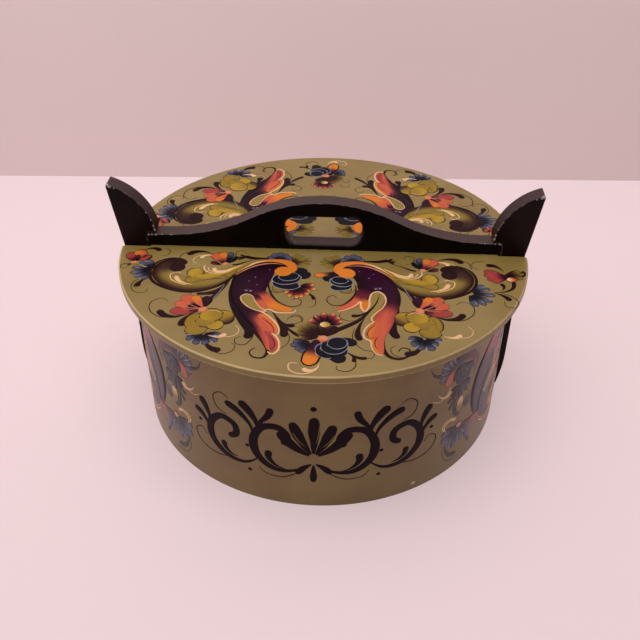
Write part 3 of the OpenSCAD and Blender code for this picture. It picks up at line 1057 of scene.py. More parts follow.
class Motifs(Brushwork):
    """Scrolls, flowers and tendrils in the Telemark manner.

    Every motif of the lid is drawn once, as it is at the front left or where only the front right has
    it, in millimetres outwards (x) and forwards (y) from the lid's middle. The wall's are drawn in
    millimetres away from a post and up. Placings mirror and move them to the other places.
    """

    def group(self, motif: Callable[[], None], placing: Placing) -> None:
        """Paints one motif where a placing sets it down.

        Args:
            motif: One of the methods below.
            placing: Where it goes.
        """
        self.placings.append(placing)
        motif()
        self.placings.pop()

    def plum_scroll(self) -> None:
        """The broad C scroll: an orange curl, a plum body and coral tails."""
        body = Load(((0, PLUM, SOOT, SOOT), (0.48, PLUM, PLUM, SOOT), (0.62, ROSE, PLUM, SOOT),
            (0.74, CORAL, CORAL, PLUM), (0.88, CORAL, CORAL, ROSE), (1, ORANGE, CORAL, CORAL)))
        self.comma([(44.5, 114.5), (43, 107), (49, 96), (57, 81), (61.5, 64), (61.5, 50)], 5.2, SOOT, 1)
        self.shaped([(47, 98), (39, 108), (32.5, 118), (29.5, 127), (32, 133), (38, 132.5), (40.5, 127.5),
            (37.5, 123.5)], 3.4, OUTER_CURL, UMBER, 1)
        self.tendril([(40, 106), (41, 115), (45, 121), (50.5, 119.5), (51, 114.5), (47.5, 113)], 0.6)
        self.lay([(22, 29, 4), (31, 29, 10), (40.5, 33.5, 20), (47, 43, 25.5), (49.5, 56, 24.5),
            (48.7, 68, 22.5), (45, 80, 18), (40.5, 90, 14), (36, 100, 11), (31.5, 110, 9), (28.5, 119, 7.5),
            (27, 126, 5)], body, 2, SOOT, 0.5)
        # The coral tail's scalloped inner side
        self.lay([(39, 89, 4), (34, 94, 6), (29.5, 101, 6.5), (27, 108, 4.5)],
            Load.across(ORANGE, CORAL, CORAL), 3)
        self.lay([(33, 106, 3), (28.5, 112, 5), (26, 119, 6), (26, 126, 4.5)], Load.across(CORAL, ROSE, ROSE),
            3.4)
        self.tendril([(39, 84.5), (33.5, 89), (28, 95.5), (24.6, 102.5), (24.4, 108.5), (27.2, 111)], 1.2,
            CREAM, 5)
        self.tendril([(28.5, 108), (24.6, 113), (22.6, 119.5), (23.2, 126), (26.4, 129.2), (29.4, 127)], 1.2,
            CREAM, 5)
        self.tendril([(36, 93), (31, 98), (27.6, 104), (28, 108), (30.5, 106.5)], 0.6, WINE, 5)
        self.tendril([(29.5, 111), (26.5, 116), (25.6, 121.5), (27.2, 124.5), (28.6, 121.5)], 0.6, WINE, 5)
        # The opening and the two lobes at its side
        orange = Load.along((0, PLUM), (0.3, CORAL), (0.65, ORANGE))
        self.lay([(42, 60, 8), (38.5, 69, 10), (32, 76.5, 8.6), (25, 81, 6.4), (17.5, 83, 4.6)], orange, 3)
        self.lay([(43.5, 66, 5), (41.5, 73, 7), (38.5, 79, 6.5), (34, 82.5, 4)],
            Load.fade(PLUM, CORAL, 0.1, 0.5), 3.6)
        self.tendril([(36.5, 84), (32.5, 82.6), (28.5, 85.4), (22, 86), (16.2, 85), (14.8, 82.6)], 1.1, CREAM,
            6)
        hole = [(50, 66, 5.5), (49, 70, 7.6), (46, 76, 6.8), (41, 81.5, 4), (35, 85, 1)]
        self.lay(hole, GROUND, 5, CREAM, 0.8)
        inner = [(36.5, 46), (35.5, 56), (32.5, 66), (26.5, 74.5), (18.5, 78.8), (13, 77), (12, 71.5),
            (15.5, 69), (18, 71.5)]
        self.shaped(inner, 1.7, INNER_LINE, UMBER, 5)
        self.crosses(((47.5, 62, 1), (50.5, 61.5, 1), (46, 45, 0.6), (50, 50, 0.5), (37, 35, 0.5),
            (44, 54, 0.45)))
        # The forked stem towards the middle flower
        self.comma([(20.5, 112), (21.2, 104), (24.5, 96), (31, 84)], 4.2)
        self.comma([(14.5, 99), (19.5, 99.5), (25.5, 93)], 3.4)
        self.comma([(6, 113), (13, 108.5), (19, 102.5), (26.5, 92)], 2.4)
        self.tendril([(21, 104), (17, 111), (18, 119), (22.5, 123.5), (25, 121.5)], 0.45)
        self.tendril([(22, 99), (14, 97.5), (9.5, 93), (12, 88.5), (16, 88), (17.5, 91.5)])

    def straight_scroll(self) -> None:
        """The C scroll of the front right quarter, whose tail runs straight forwards."""
        body = Load.across(SOOT, PLUM, PLUM)
        self.comma([(52.6, 109.5), (49.5, 104), (49.5, 94), (52.5, 82), (54, 66)], 4.6, SOOT, 1)
        self.shaped([(45.5, 97.5), (42.8, 108), (42.5, 120), (46.3, 128), (52.5, 130), (58.4, 126.3),
            (59, 120.5), (54.6, 119), (52, 123)], 3.4, OUTER_CURL, UMBER, 1)
        self.lay([(16, 28, 4), (22, 29.5, 12), (28.3, 33, 18.7), (36, 43.5, 23.7), (39.7, 54, 28),
            (41, 62, 27)], body, 2, None)
        tail = Load(((0, PLUM, PLUM, PLUM), (0.3, PLUM, PLUM, SOOT), (0.5, ROSE, CORAL, ROSE),
            (0.75, ORANGE, CORAL, CORAL), (1, ORANGE, CORAL, CORAL)))
        self.lay([(41.5, 44, 8), (47.4, 54, 11.5), (50.1, 67, 10.8), (46.2, 81.5, 13), (42.4, 95, 13.4),
            (38.6, 106, 13), (39.2, 114, 8), (40, 121, 6.4), (41.7, 126, 3)], tail, 3, None)
        limb = Load.along((0, PLUM), (0.3, WINE), (0.5, CORAL))
        self.lay([(32, 55, 13), (30, 61.5, 11.5), (25.4, 70.5, 9.4), (19.2, 76.7, 6.6), (13.4, 80.4, 4)],
            limb, 3, None)
        self.petal((30.2, 64), (31, 81.3), 6.6, Load.fade(WINE, ORANGE, 0.05, 0.45), 4.2, None)
        self.lay([(41, 59, 3), (40.4, 63, 8.6), (39.4, 69, 10.4), (37.6, 76, 8.6), (35.4, 83, 4.6),
            (34, 88, 1)], GROUND, 5)
        for points in (
            [(13.2, 82.4), (19, 80), (24.5, 75.4), (28.2, 70.5), (28.4, 76.6), (31, 81.6), (33.8, 76.6),
             (34.2, 68), (35.9, 61), (39.9, 58.4), (43.8, 61.6), (45.2, 69.3), (43, 76.6), (39, 82.4),
             (35.5, 88.6), (36.6, 93)],
            [(37.4, 92.6), (33, 97.5), (30.5, 104), (30.8, 110), (34.8, 113.4), (35.4, 119),
             (38.2, 125.6), (42.4, 127)],
        ):
            self.tendril(points, 1.1, CREAM, 6)
        self.tendril([(38, 96), (34, 101), (32.8, 107), (34.5, 110.4), (37.4, 109)], 0.6, WINE, 6)
        self.tendril([(39, 109), (37.4, 114), (38, 119), (39.6, 121)], 0.6, WINE, 6)
        inner = [(24.8, 52), (24.2, 62), (20.8, 69.6), (15.6, 75.4), (10.1, 76), (5.8, 72), (5.6, 67),
            (9.6, 64.4), (11.8, 67.4)]
        self.shaped(inner, 1.8, INNER_LINE, UMBER, 5)
        self.crosses(((38.6, 55, 1), (41.4, 54.4, 1), (33.8, 42, 0.6), (26.8, 34, 0.5), (37, 37, 0.45)))
        # The stem out of the opening, its commas, and one orange petal beside the dark flower
        self.comma([(9.7, 105.4), (16.3, 100.6), (26.4, 92.5), (33.2, 82.5), (38.7, 71.7), (41, 61)], 3,
            UMBER, 6)
        self.comma([(22.1, 86.8), (27, 86.5), (32.4, 82)], 2.6, UMBER, 6)
        self.comma([(28.4, 113), (26.5, 107), (27.4, 98.5), (31, 89)], 3.6)
        self.tendril([(24.5, 100), (23.5, 112), (30, 122), (36.4, 124), (36, 129.5), (30, 130.5)])
        self.tendril([(15, 84.5), (14.5, 89), (20.3, 92.6), (26, 91.5)])
        self.petal((10, 35.5), (-4.5, 40), 5.4, Load.fade(SOOT, ORANGE, 0.2, 0.7), 4.4, WINE, -0.1)

    def crosses(self, places: tuple[Spot, ...]) -> None:
        """Small pale crosses on a scroll's body.

        Args:
            places: Each cross's x, y and size.
        """
        for x, y, r in places:
            for turn in (35, 125):
                self.lobe((x, y), 1.6 * r, 0.28 * r, turn, BLUE_PALE, 5, None)

    def curl(self) -> None:
        """The orange curl at the head of a C scroll."""
        neck = Load.along((0, ORANGE), (0.45, ORANGE), (0.7, CREAM), (1, GOLD))
        self.lay([(24.5, 38.5, 4), (20.8, 33.5, 6.4), (22.3, 27.4, 6.6), (27.5, 24, 5.2), (35.5, 22.8, 3.6),
            (45, 25.4, 2.3), (54, 32.4, 1.4), (61, 42, 0.6)], neck, 9, WINE, 0.25)
        self.lobe((27, 36.6), 6.4, 6.1, 20, ORANGE, 10, None)
        self.lay([(60, 43, 0.5), (52, 34, 1.1), (43.5, 28.6, 1.3), (34, 26.6, 0.8), (28, 28, 0.3)], FLESH, 9)

    def curl_leaves(self) -> None:
        """The blue-grey and olive leaves over the curl, and the stem above it."""
        blue = Load.fade(INDIGO, BLUE_GREY, 0.2, 0.7)
        self.fan((22, 25), -160, 100, 6, 14, 5, Load.fade(UMBER, OLIVE, 0.1, 0.6), 1, None)
        for bend, tip in ((0.1, (9, 18)), (0, (7.5, 22)), (-0.1, (8, 27))):
            self.tendril([(19, 24), ((19 + tip[0]) / 2, (24 + tip[1]) / 2 + 10 * bend), tip], 0.5, UMBER, 3)
        self.fan((31, 23), -88, 110, 5, 12, 5, blue, 2, INDIGO)
        self.comma([(57, 18), (50, 20.4), (40, 20.6), (30, 21.5)], 3)
        for x, y in ((60, 16), (62, 20), (61, 23)):
            self.comma([(x, y), (55, 19.5), (50, 20.4)], 1.6)

    def golden_scroll(self) -> None:
        """The olive scroll that winds outwards, with its gold leaves and feather."""
        band = Load(((0, UMBER, OLIVE, OCHRE), (0.35, UMBER, OLIVE, GROUND), (0.64, UMBER, OLIVE, GROUND),
            (0.78, UMBER, UMBER_SOFT, UMBER_SOFT), (0.9, UMBER, UMBER, UMBER)))
        self.lay([(60, 37, 1), (66.5, 47, 8), (77.5, 54.5, 14), (90.5, 56.5, 17.5), (103.5, 52.5, 17.5),
            (112, 43.5, 15), (113.5, 34, 11.5), (108.5, 28, 8.5), (102, 27.5, 7.5), (99, 32, 7)], band, 2,
            None)
        rim = [(61, 41), (66.5, 51.5), (76.5, 61), (90, 65.3), (105, 62), (117, 53.5), (121.5, 42), (119, 30),
            (111, 23.8), (102, 23.5)]
        self.shaped(rim, 2.4, ((0, 0.3), (0.3, 1), (0.7, 1), (1, 0.4)), UMBER, 2.6)
        self.lobe((103, 35.4), 5.8, 5.4, 30, UMBER, 4, None)
        # Gold leaves inside
        gold = Load.across(OCHRE, GOLD, GOLD)
        self.petal((66, 46), (94, 52), 8.5, Load.fade(OLIVE, OCHRE), 3, UMBER_SOFT, -0.1)
        self.lobe((89, 41.5), 6, 5.6, 70, gold, 3.4, UMBER_SOFT)
        self.lay([(52, 27.5, 0.6), (59.5, 32.5, 3.4), (67, 38.5, 6.2), (75, 43.6, 8), (83, 46.5, 7),
            (88.5, 46.5, 4.4)], gold, 4, UMBER_SOFT, 0.25)
        self.comma([(76.5, 34.5), (75, 38.8), (69, 38.6), (62.5, 34), (57, 29.5)], 2.7, CREAM, 6)
        self.tendril([(83.5, 31), (83.5, 36.5), (78.5, 41), (71, 41), (64, 37)], 0.8, CREAM, 6)
        self.tendril([(81, 34), (79.5, 38), (74, 40)], 0.6, CREAM, 6)
        self.comma([(102, 46.5), (99.5, 51.5), (94.5, 55), (88.5, 56)], 2.8, CREAM, 6)
        self.tendril([(103.5, 42.5), (106, 44), (105, 50), (99.5, 54.5), (93, 57)], 0.7, CREAM, 6)
        self.tendril([(99, 43), (101, 41.5), (104, 42.5)], 0.6, CREAM, 6)

    def scroll_end(self) -> None:
        """The feather at the golden scroll's end, with a comma and a tendril under it."""
        self.feather((118, 40), 0)
        self.comma([(127, 61), (126, 55.5), (122.5, 50.5)], 3.8)
        self.tendril([(124.5, 49), (130, 55), (130, 63), (124.5, 68), (119, 66.5), (119, 62.5)])
        self.tendril([(128, 62), (128.5, 58)])

    def feather(self, centre: Point, toward: float) -> None:
        """Blue-grey petals fanned out from the end of a scroll.

        Args:
            centre: Where they meet.
            toward: The middle petal's direction, in degrees.
        """
        blue = Load.fade(INDIGO, BLUE_GREY, 0.25, 0.75)
        self.fan(centre, toward, 118, 6, 18, 4.4, blue, 1, INDIGO, 0.2)
        pale = Load.fade(BLUE_GREY, BLUE_PALE, 0.2, 0.8)
        self.fan(centre, toward, 100, 6, 17, 0.9, pale, 4, None, 0.6)

    def red_flower(self) -> None:
        """The small red flower near the lid's rim, at the end of its comma."""
        rose = Load.fade(PLUM, ROSE, 0.05, 0.55)
        self.petal((136, 28), (140.5, 17.5), 6.5, rose, 3, SOOT, 0.12)
        self.petal((133, 27), (125.5, 20.5), 5.5, rose, 3, SOOT, -0.1)
        self.petal((135, 27), (127, 26), 4, rose, 3.3, SOOT, 0.1)
        self.lobe((133.5, 17.6), 4.6, 4.4, 0, Load.fade(CORAL, ORANGE), 3.6, SOOT)
        self.petal((134, 29), (134.5, 20), 4.4, Load.fade(SOOT, WINE), 4, None)
        self.lobe((135.5, 30.5), 2.6, 1.7, 30, FLESH, 5, None)
        self.comma([(119.5, 14), (123.5, 11), (129, 11.5), (131.5, 14)], 3.4)
        self.tendril([(117.5, 10.5), (112.5, 13.5), (113, 19), (117, 21)], 0.45)
        self.tendril([(131.5, 33.5), (138, 32), (144, 34), (143, 38.5), (139, 37.5)], 0.6)
        self.comma([(139.5, 35), (137, 32.5), (132.5, 33)], 1.6)
        self.tendril([(130, 31), (128, 35), (124.5, 36)], 0.5, CREAM)

    def side_bud(self) -> None:
        """The front right quarter's feather and the rose bud beyond it, which opens inwards."""
        self.feather((102, 56.5), 18)
        rose = Load.fade(PLUM, ROSE, 0.1, 0.6)
        for tip in ((116, 28.5), (115.5, 34), (117.5, 39.5), (121, 42.5)):
            self.petal((131, 36.5), tip, 5.4, rose, 3, SOOT, 0.06, 0.5)
        olive = Load.fade(UMBER, OLIVE, 0.3, 1)
        for tip, width in (((141, 27.5), 5), ((144.5, 31), 6), ((142, 36.5), 5)):
            self.petal((130, 34), tip, width, olive, 3.4, UMBER)
        self.comma([(143, 27), (144.5, 31), (141, 34)], 1.8, UMBER, 5)
        self.lobe((134, 38.5), 3.4, 2.6, 0, Load.fade(CREAM, CORAL), 5, UMBER)
        self.comma([(118, 21), (124, 21.6), (130, 28)], 3.6)
        self.tendril([(119, 16), (109.5, 17.5), (108, 24), (113, 26.5)], 0.45)
        self.comma([(135, 41), (133.5, 49), (128, 53.5), (119, 55)], 2.4)
        self.comma([(125.5, 44), (127.5, 47.5), (125.5, 52.5)], 2.6)
        self.comma([(129.5, 64.5), (127, 60), (120, 55.5)], 3.4)
        self.tendril([(124, 56), (131, 59), (135, 66), (132, 72), (126, 71), (125.5, 65)])

    def bud(self) -> None:
        """The orange and blue bud between the scrolls and its comma."""
        self.petal((70, 29), (80.5, 16.5), 8.5, Load.fade(UMBER, CORAL, 0.05, 0.6), 3, UMBER, -0.12)
        self.petal((70, 28), (74, 14), 6.5, Load.fade(WINE, ORANGE, 0.1, 0.7), 3.4, UMBER, -0.1)
        self.petal((69, 28), (67.5, 13.5), 5.2, Load.fade(INDIGO, BLUE_GREY, 0.3, 0.9), 3.6, INDIGO)
        self.petal((68, 28), (62.5, 18.5), 4, INDIGO, 3.8, None, -0.1)
        self.petal((73, 30), (80, 27), 4, Load.fade(UMBER, WINE), 3.2, UMBER)
        self.lobe((69.5, 28.8), 2.3, 1.8, 20, FLESH, 5, None)
        self.comma([(64.5, 30.2), (60.5, 29.2), (55, 25.5), (47, 22)], 1.5)
        self.comma([(98.5, 18.5), (94.5, 14.4), (87.5, 13.4), (81, 16)], 4)
        self.tendril([(96, 14.5), (102.5, 17.5), (104, 26)], 0.6)
        self.comma([(88, 22.5), (86.5, 19), (80, 18)], 2.6, CREAM, 3)
        self.tendril([(84, 18.5), (91.5, 20), (93.5, 26), (90, 29.5)], 0.5, CREAM)
        self.tendril([(64, 20), (63, 12), (58, 11), (56, 15)], 0.4)
        self.tendril([(63, 15), (62, 20), (57, 22)], 0.4)

    def dark_flower(self) -> None:
        """The blue-black flower under the curl, and its olive petal."""
        olive = Load.fade(UMBER, OLIVE, 0.2, 0.8)
        self.petal((25, 47), (32.5, 59), 11, olive, 2, UMBER, 0.25)
        self.tendril([(35.5, 48), (36, 57), (31, 63), (26, 61.5)])
        self.lobe((19.5, 36.5), 10, 5.2, 12, INDIGO, 4, None)
        self.lobe((11, 41), 5, 3.6, 60, INDIGO, 4, None)
        self.lobe((24, 53), 9.5, 5.5, -12, INDIGO, 4.2, BLUE_PALE)
        self.lobe((24, 45.5), 10, 7, 12, INDIGO, 5.8, BLUE_PALE)
        self.lobe((22.5, 43), 7, 4.8, 12, INDIGO, 7.4, BLUE_PALE)

    def flames(self) -> None:
        """The fringe of small flames under the dark flower."""
        flame = Load.along((0.3, SOOT), (0.6, WINE), (0.85, ORANGE), (1, CREAM))
        self.fan((15, 55), 86, 80, 5, 14, 4, flame, 2, SOOT)
        self.fan((14, 53), 158, 50, 3, 11.5, 3.8, flame, 2, SOOT)
        self.comma([(3.5, 70), (5, 65.5), (9, 61)], 2.2)
        self.tendril([(8, 64), (2.5, 70), (3, 77), (7, 79)], 0.45)

    def tulip(self) -> None:
        """The rose tulip with two long petals, and the stems that carry it."""
        self.comma([(76.5, 79), (70.5, 67), (65.5, 56), (62, 43)], 3, UMBER, 1)
        self.comma([(78, 66.5), (72, 64.5), (67, 57.5), (63, 47)], 3.4, UMBER, 1)
        self.comma([(84, 67), (77, 66.2), (70, 61), (64.5, 52)], 2.6, UMBER, 1)
        self.tendril([(73, 75), (69.4, 66), (66.4, 56)], 0.5, BLUE_PALE, 3)
        self.tendril([(88.5, 68), (86, 63)])
        rose = Load.fade(PLUM, CORAL, 0.2, 0.62)
        self.petal((77, 84), (98, 87), 8, Load.fade(PLUM, ROSE, 0.15, 0.5), 3, SOOT, 0.1, 0.35)
        self.petal((77, 84), (96.5, 79), 8, rose, 3.3, WINE, -0.03, 0.3)
        self.petal((77, 83), (93.5, 71.5), 9, rose, 3.6, WINE, -0.1, 0.3)
        self.petal((77, 82), (84.5, 69.5), 6.5, Load.fade(CORAL, ORANGE), 4, WINE, 0.05)
        self.petal((76.5, 82), (76.5, 70), 7, Load.fade(UMBER, PLUM), 4.2, UMBER, -0.08)
        self.petal((77, 84), (87, 80.5), 6, Load.fade(SOOT, PLUM, 0.1, 0.9), 4.6, None, 0.05)
        self.petal((77, 85), (86, 86), 4.4, Load.fade(PLUM, WINE, 0.1, 0.9), 4.6, None)
        for tip in ((89, 77.5), (91, 82), (90, 85.5)):
            self.tendril([(79, 84), ((79 + tip[0]) / 2, (84 + tip[1]) / 2 + 0.6), tip], 0.45, FLESH, 6)
        self.lobe((76.6, 85), 2.9, 2.6, 40, FLESH, 6, CORAL)
        # Commas below and the long tendril
        self.comma([(105.5, 87), (102, 92), (94, 94), (85, 90)], 4)
        self.tendril([(95, 95), (105, 94), (112, 87), (112.5, 78), (106.5, 73.5), (101.5, 77)], 0.6)
        self.comma([(87.5, 104), (87.5, 97), (82, 89)], 4.2)

    def gold_flower(self) -> None:
        """The round-lobed gold flower."""
        green = Load.across(OLIVE, OCHRE, OCHRE)
        self.lobe((61.5, 93), 7, 7.4, 30, Load.across(UMBER_SOFT, OCHRE, GOLD), 3, UMBER)
        self.lobe((80.5, 98), 8.5, 5.6, 80, green, 3, UMBER)
        self.lobe((77.5, 107), 7, 5.6, 15, green, 3.4, UMBER)
        self.lobe((76, 97), 8.5, 5.6, 70, green, 3.8, UMBER)
        self.lobe((66, 101.5), 5.4, 5, 20, GOLD, 4.2, UMBER)
        self.lobe((73, 98), 6.2, 6, 0, green, 4.6, UMBER)
        self.lobe((70, 91), 7.6, 7, 20, Load.fade(OCHRE, GOLD), 5, UMBER)
        self.tendril([(64, 88), (69, 85.6), (74.5, 87.4)], 0.4, CREAM, 6)

    def flower_foot(self) -> None:
        """The blue petals at the gold flower's foot, with their commas."""
        self.small_blue()
        self.comma([(58.5, 127), (64, 126), (69, 121), (72.5, 115)], 4)
        self.tendril([(66, 126), (58, 130.5), (51.5, 127.5), (50.5, 121.5), (53.5, 119.5)])

    def cream_comma(self) -> None:
        """The cream comma beside the blue petals, and its tendril."""
        self.comma([(57.5, 110.5), (62, 113.6), (69, 112.6)], 2.8, CREAM, 4)
        self.tendril([(60, 113.5), (52.5, 112), (49.8, 106.5), (52.5, 101)], 0.5, CREAM)

    def small_blue(self) -> None:
        """Blue petals with pale hair lines."""
        blue = Load.fade(INDIGO, BLUE_GREY, 0.3, 0.85)
        self.fan((72, 111), 88, 170, 6, 12.5, 5.2, blue, 2, INDIGO)
        self.fan((72, 111), 88, 150, 5, 12.5, 0.9, BLUE_PALE, 5, None, 0.6)

    def middle_flower(self) -> None:
        """The large flower on the lid's centre line, drawn about its own centre."""
        smoke = Load.fade(UMBER, OLIVE, 0.3, 1)
        flame = Load.along((0.3, SOOT), (0.6, WINE), (0.85, CORAL), (1, CREAM))
        blue = Load.fade(INDIGO, BLUE_GREY, 0.3, 0.9)
        self.fan((1.5, -1.5), -62, 112, 7, 18, 8.5, smoke, 2, None)
        self.petal((-2, -3), (-8.5, -13.5), 8, Load.fade(UMBER, PLUM), 2.4, None)
        for i in range(6):
            a = math.radians(-72 + 15 * i)
            self.tendril([(8 * math.cos(a), 8 * math.sin(a)), (19 * math.cos(a), 17 * math.sin(a))], 0.4,
                UMBER, 5)
        self.fan((-1.5, -14), -92, 126, 6, 14.5, 4.4, flame, 5, SOOT, 0.2)
        self.lobe((-0.7, -15), 3.4, 2.9, 0, Load.fade(GOLD, CREAM), 8, UMBER)
        self.fan((7, 4), 26, 56, 4, 14, 4.4, blue, 2.4, INDIGO)
        self.petal((4, 2), (8.4, 26), 10, Load.fade(PLUM, ORANGE, 0.3, 0.72), 3.4, SOOT, 0.02, 1.1)
        self.petal((-5, 1), (-21.5, 4.5), 8, INDIGO, 4, None, 0.08)
        self.petal((0, 15), (-14, 22), 9.5, INDIGO, 4.2, None, 0.1)
        self.lobe((-10.5, 12), 5.5, 5.5, 0, INDIGO, 4.4, BLUE_PALE)
        self.lobe((-2.4, 11.8), 6.6, 7.4, 30, INDIGO, 5, BLUE_PALE)
        self.lobe((-7.4, 7), 8.6, 7.6, 20, INDIGO, 6.8, BLUE_PALE)
        self.lobe((-9.2, 3.8), 6.2, 5.6, 20, INDIGO, 8.6, BLUE_PALE)
        self.lobe((0, 0), 3.4, 3.4, 0, Load.across(CORAL, FLESH, FLESH), 10, None)
        self.comma([(-28, 17.5), (-24, 18), (-19, 15.5), (-13.5, 10.5)], 2.4)
        self.comma([(-19.8, 22), (-19.8, 17.5), (-16.5, 13)], 2.4)
        self.tendril([(-20.7, 20), (-20.7, 26.6), (-15.7, 31), (-9.5, 29), (-9.5, 26)], 0.6)

    def middle_scrolls(self) -> None:
        """The hair lines and cream curl round the middle flower."""
        self.tendril([(14, -16), (17, -23), (23, -22), (24, -18)], 0.45)
        self.tendril([(17, -11), (21, -14), (24, -11), (22, -8)], 0.45)
        self.comma([(11, 29.2), (7.5, 31.6), (3, 29.6), (1.2, 24)], 2.6, CREAM, 3)
        self.tendril([(14.5, 24.8), (19.5, 25), (19, 31), (12, 34.4), (4, 31.6), (1.2, 24)], 0.8, CREAM)

    def wall_scroll(self) -> None:
        """The wall's own broad belly under the C scroll: coral on top, plum below."""
        body = Load(((0, CORAL, ROSE, ROSE), (0.16, ROSE, ROSE, WINE), (0.32, PLUM, PLUM, SOOT),
            (1, PLUM, PLUM, SOOT)))
        self.lay([(66, 105, 7), (70, 98, 16), (75, 88, 25), (79, 76, 31), (80, 62, 32), (78, 49, 28),
            (74, 38, 18), (70, 31, 7)], body, 1, SOOT, 0.7)
        for points in ([(38, 62), (44, 72), (52, 84), (57, 92)], [(42, 60), (49, 72), (56, 84)],
                [(46, 54), (53, 66), (60, 79)]):
            self.comma(points, 3.2, SOOT, 1)
        self.tendril([(58, 104), (64, 96), (66, 86), (62, 76)], 0.8, CREAM, 3)

    def wall_flower(self) -> None:
        """The dark flower under the lid's edge, with a plum hood, a coral petal and a blue fan."""
        self.tendril([(98, 86), (95, 96), (98, 104), (106, 106)], 0.9, UMBER, 1)
        self.fan((118, 98), 35, 90, 6, 17, 5, Load.fade(INDIGO, BLUE_GREY, 0.3, 0.8), 1, INDIGO)
        self.fan((118, 98), 35, 76, 5, 16, 1.1, BLUE_PALE, 4, None, 0.5)
        self.comma([(124, 101), (131, 100), (138, 103), (142, 111)], 3.2)
        self.lay([(98, 97, 3), (103, 105, 8), (112, 107.5, 9), (121, 103, 7)], Load.fade(WINE, PLUM), 3,
            UMBER, 0.4)
        self.petal((119, 103), (126, 88), 6.4, Load.fade(WINE, CORAL, 0.1, 0.5), 3.4, UMBER, 0.05)
        for tip, width in (((99, 93), 8), ((103, 86), 9), ((111, 84), 9), ((118, 89), 7)):
            self.petal((113, 101), tip, width, INDIGO, 4, BLUE_GREY, 0.1, 0.3)
            short = (113 + (tip[0] - 113) * 0.7, 101 + (tip[1] - 101) * 0.7)
            self.petal((113, 101), short, width * 0.5, BLUE_GREY, 4.6, None, 0.1)
            self.petal((113, 101), short, width * 0.4, INDIGO, 5, None, 0.1)
        self.comma([(121, 82), (124, 79), (129, 79.5), (133, 84)], 2.6, CREAM, 3)
        self.tendril([(122, 86), (126, 79), (132, 77), (137, 80)], 0.6, CREAM)

    def wall_leaves(self) -> None:
        """The leaves and petals that hang between the two flowers, and the lower flower."""
        self.fan((112, 84), -95, 120, 5, 14, 6, Load.fade(INDIGO, UMBER), 2, INDIGO)
        olive = Load.fade(UMBER, OLIVE, 0.2, 0.8)
        self.lobe((104, 66), 8, 4.4, 70, olive, 3, UMBER)
        self.lobe((110, 64), 7, 3.4, 95, Load.fade(OLIVE, CREAM), 3.5, UMBER)
        self.comma([(109, 54), (114, 58), (116, 66), (113, 74)], 3.4)
        self.comma([(123, 71), (119, 74), (114, 78)], 2.8)
        self.comma([(121, 64), (118, 69), (113, 75)], 2.4)
        self.tendril([(102, 72), (98, 66), (100, 58), (105, 57)], 0.7)
        self.tendril([(120, 55), (125, 50), (122, 44), (116, 44)], 1, CREAM)
        self.comma([(112, 50), (118, 53), (123, 49), (121, 43)], 2.2, CREAM, 3)
        blue = Load.fade(INDIGO, BLUE_GREY, 0.25, 0.8)
        self.fan((109, 42), -70, 130, 6, 20, 6.4, blue, 2, INDIGO)
        self.fan((109, 42), -70, 110, 5, 19, 1, BLUE_PALE, 5, None, 0.5)
        self.petal((104, 41), (80, 35), 6.5, Load.fade(UMBER, ROSE, 0.1, 0.7), 3, UMBER, 0.06)
        self.petal((105, 39), (94, 22), 6, Load.fade(PLUM, BLUE_GREY, 0.1, 0.7), 3.2, UMBER, -0.1)
        self.lobe((107.5, 42.5), 3, 2.4, 20, FLESH, 6, UMBER)
        self.comma([(106, 13), (114, 16), (119, 25), (116, 36)], 3.6)
        self.tendril([(104, 9), (116, 11), (122, 22), (120, 33)], 0.7)
        self.comma([(90, 14), (94, 20), (101, 30)], 2.8, UMBER, 1)

    def front_vine(self) -> None:
        """One half of the plain dark vine round the front, from the middle outwards."""
        self.shaped([(3, 41), (14, 34), (28, 34), (39, 44), (41, 59), (34, 71), (23, 72.5), (17.5, 65),
            (21, 58)], 7, VINE, SOOT, 2)
        self.shaped([(37, 42), (49, 33), (64, 35), (74, 46), (74, 60), (65, 69.5), (55, 66), (54, 58),
            (60, 54)], 6.6, VINE, SOOT, 2)
        for points, width in (
            ([(50, 89), (43, 82), (38, 72), (39.5, 60)], 5.4),
            ([(61, 84), (52, 80), (43, 70), (41, 58)], 4.6),
            ([(28, 89), (30, 82), (36, 74), (40, 62)], 4.2),
            ([(82, 79), (78, 73), (75, 64), (75.5, 54)], 4.6),
            ([(88, 67), (82, 64), (77, 57), (75, 48)], 4),
            ([(30, 50), (31, 44), (27, 38), (20, 35)], 4.2),
            ([(64, 47), (64, 42), (60, 37.5), (54, 36)], 3.8),
        ):
            self.comma(points, width, SOOT)
        for points, width in (
            ([(60, 33), (74, 31), (86, 36), (89, 46), (83, 50), (79, 45)], 0.8),
            ([(10, 33), (22, 26.5), (34, 28), (38, 33)], 0.7),
            ([(60, 73), (68, 77), (70, 86), (64, 91), (58, 88)], 0.7),
        ):
            self.tendril(points, width, SOOT)
        for x, y in ((46, 50), (84, 57), (45, 27)):
            self.dot((x, y), 1.6, SOOT, 2)


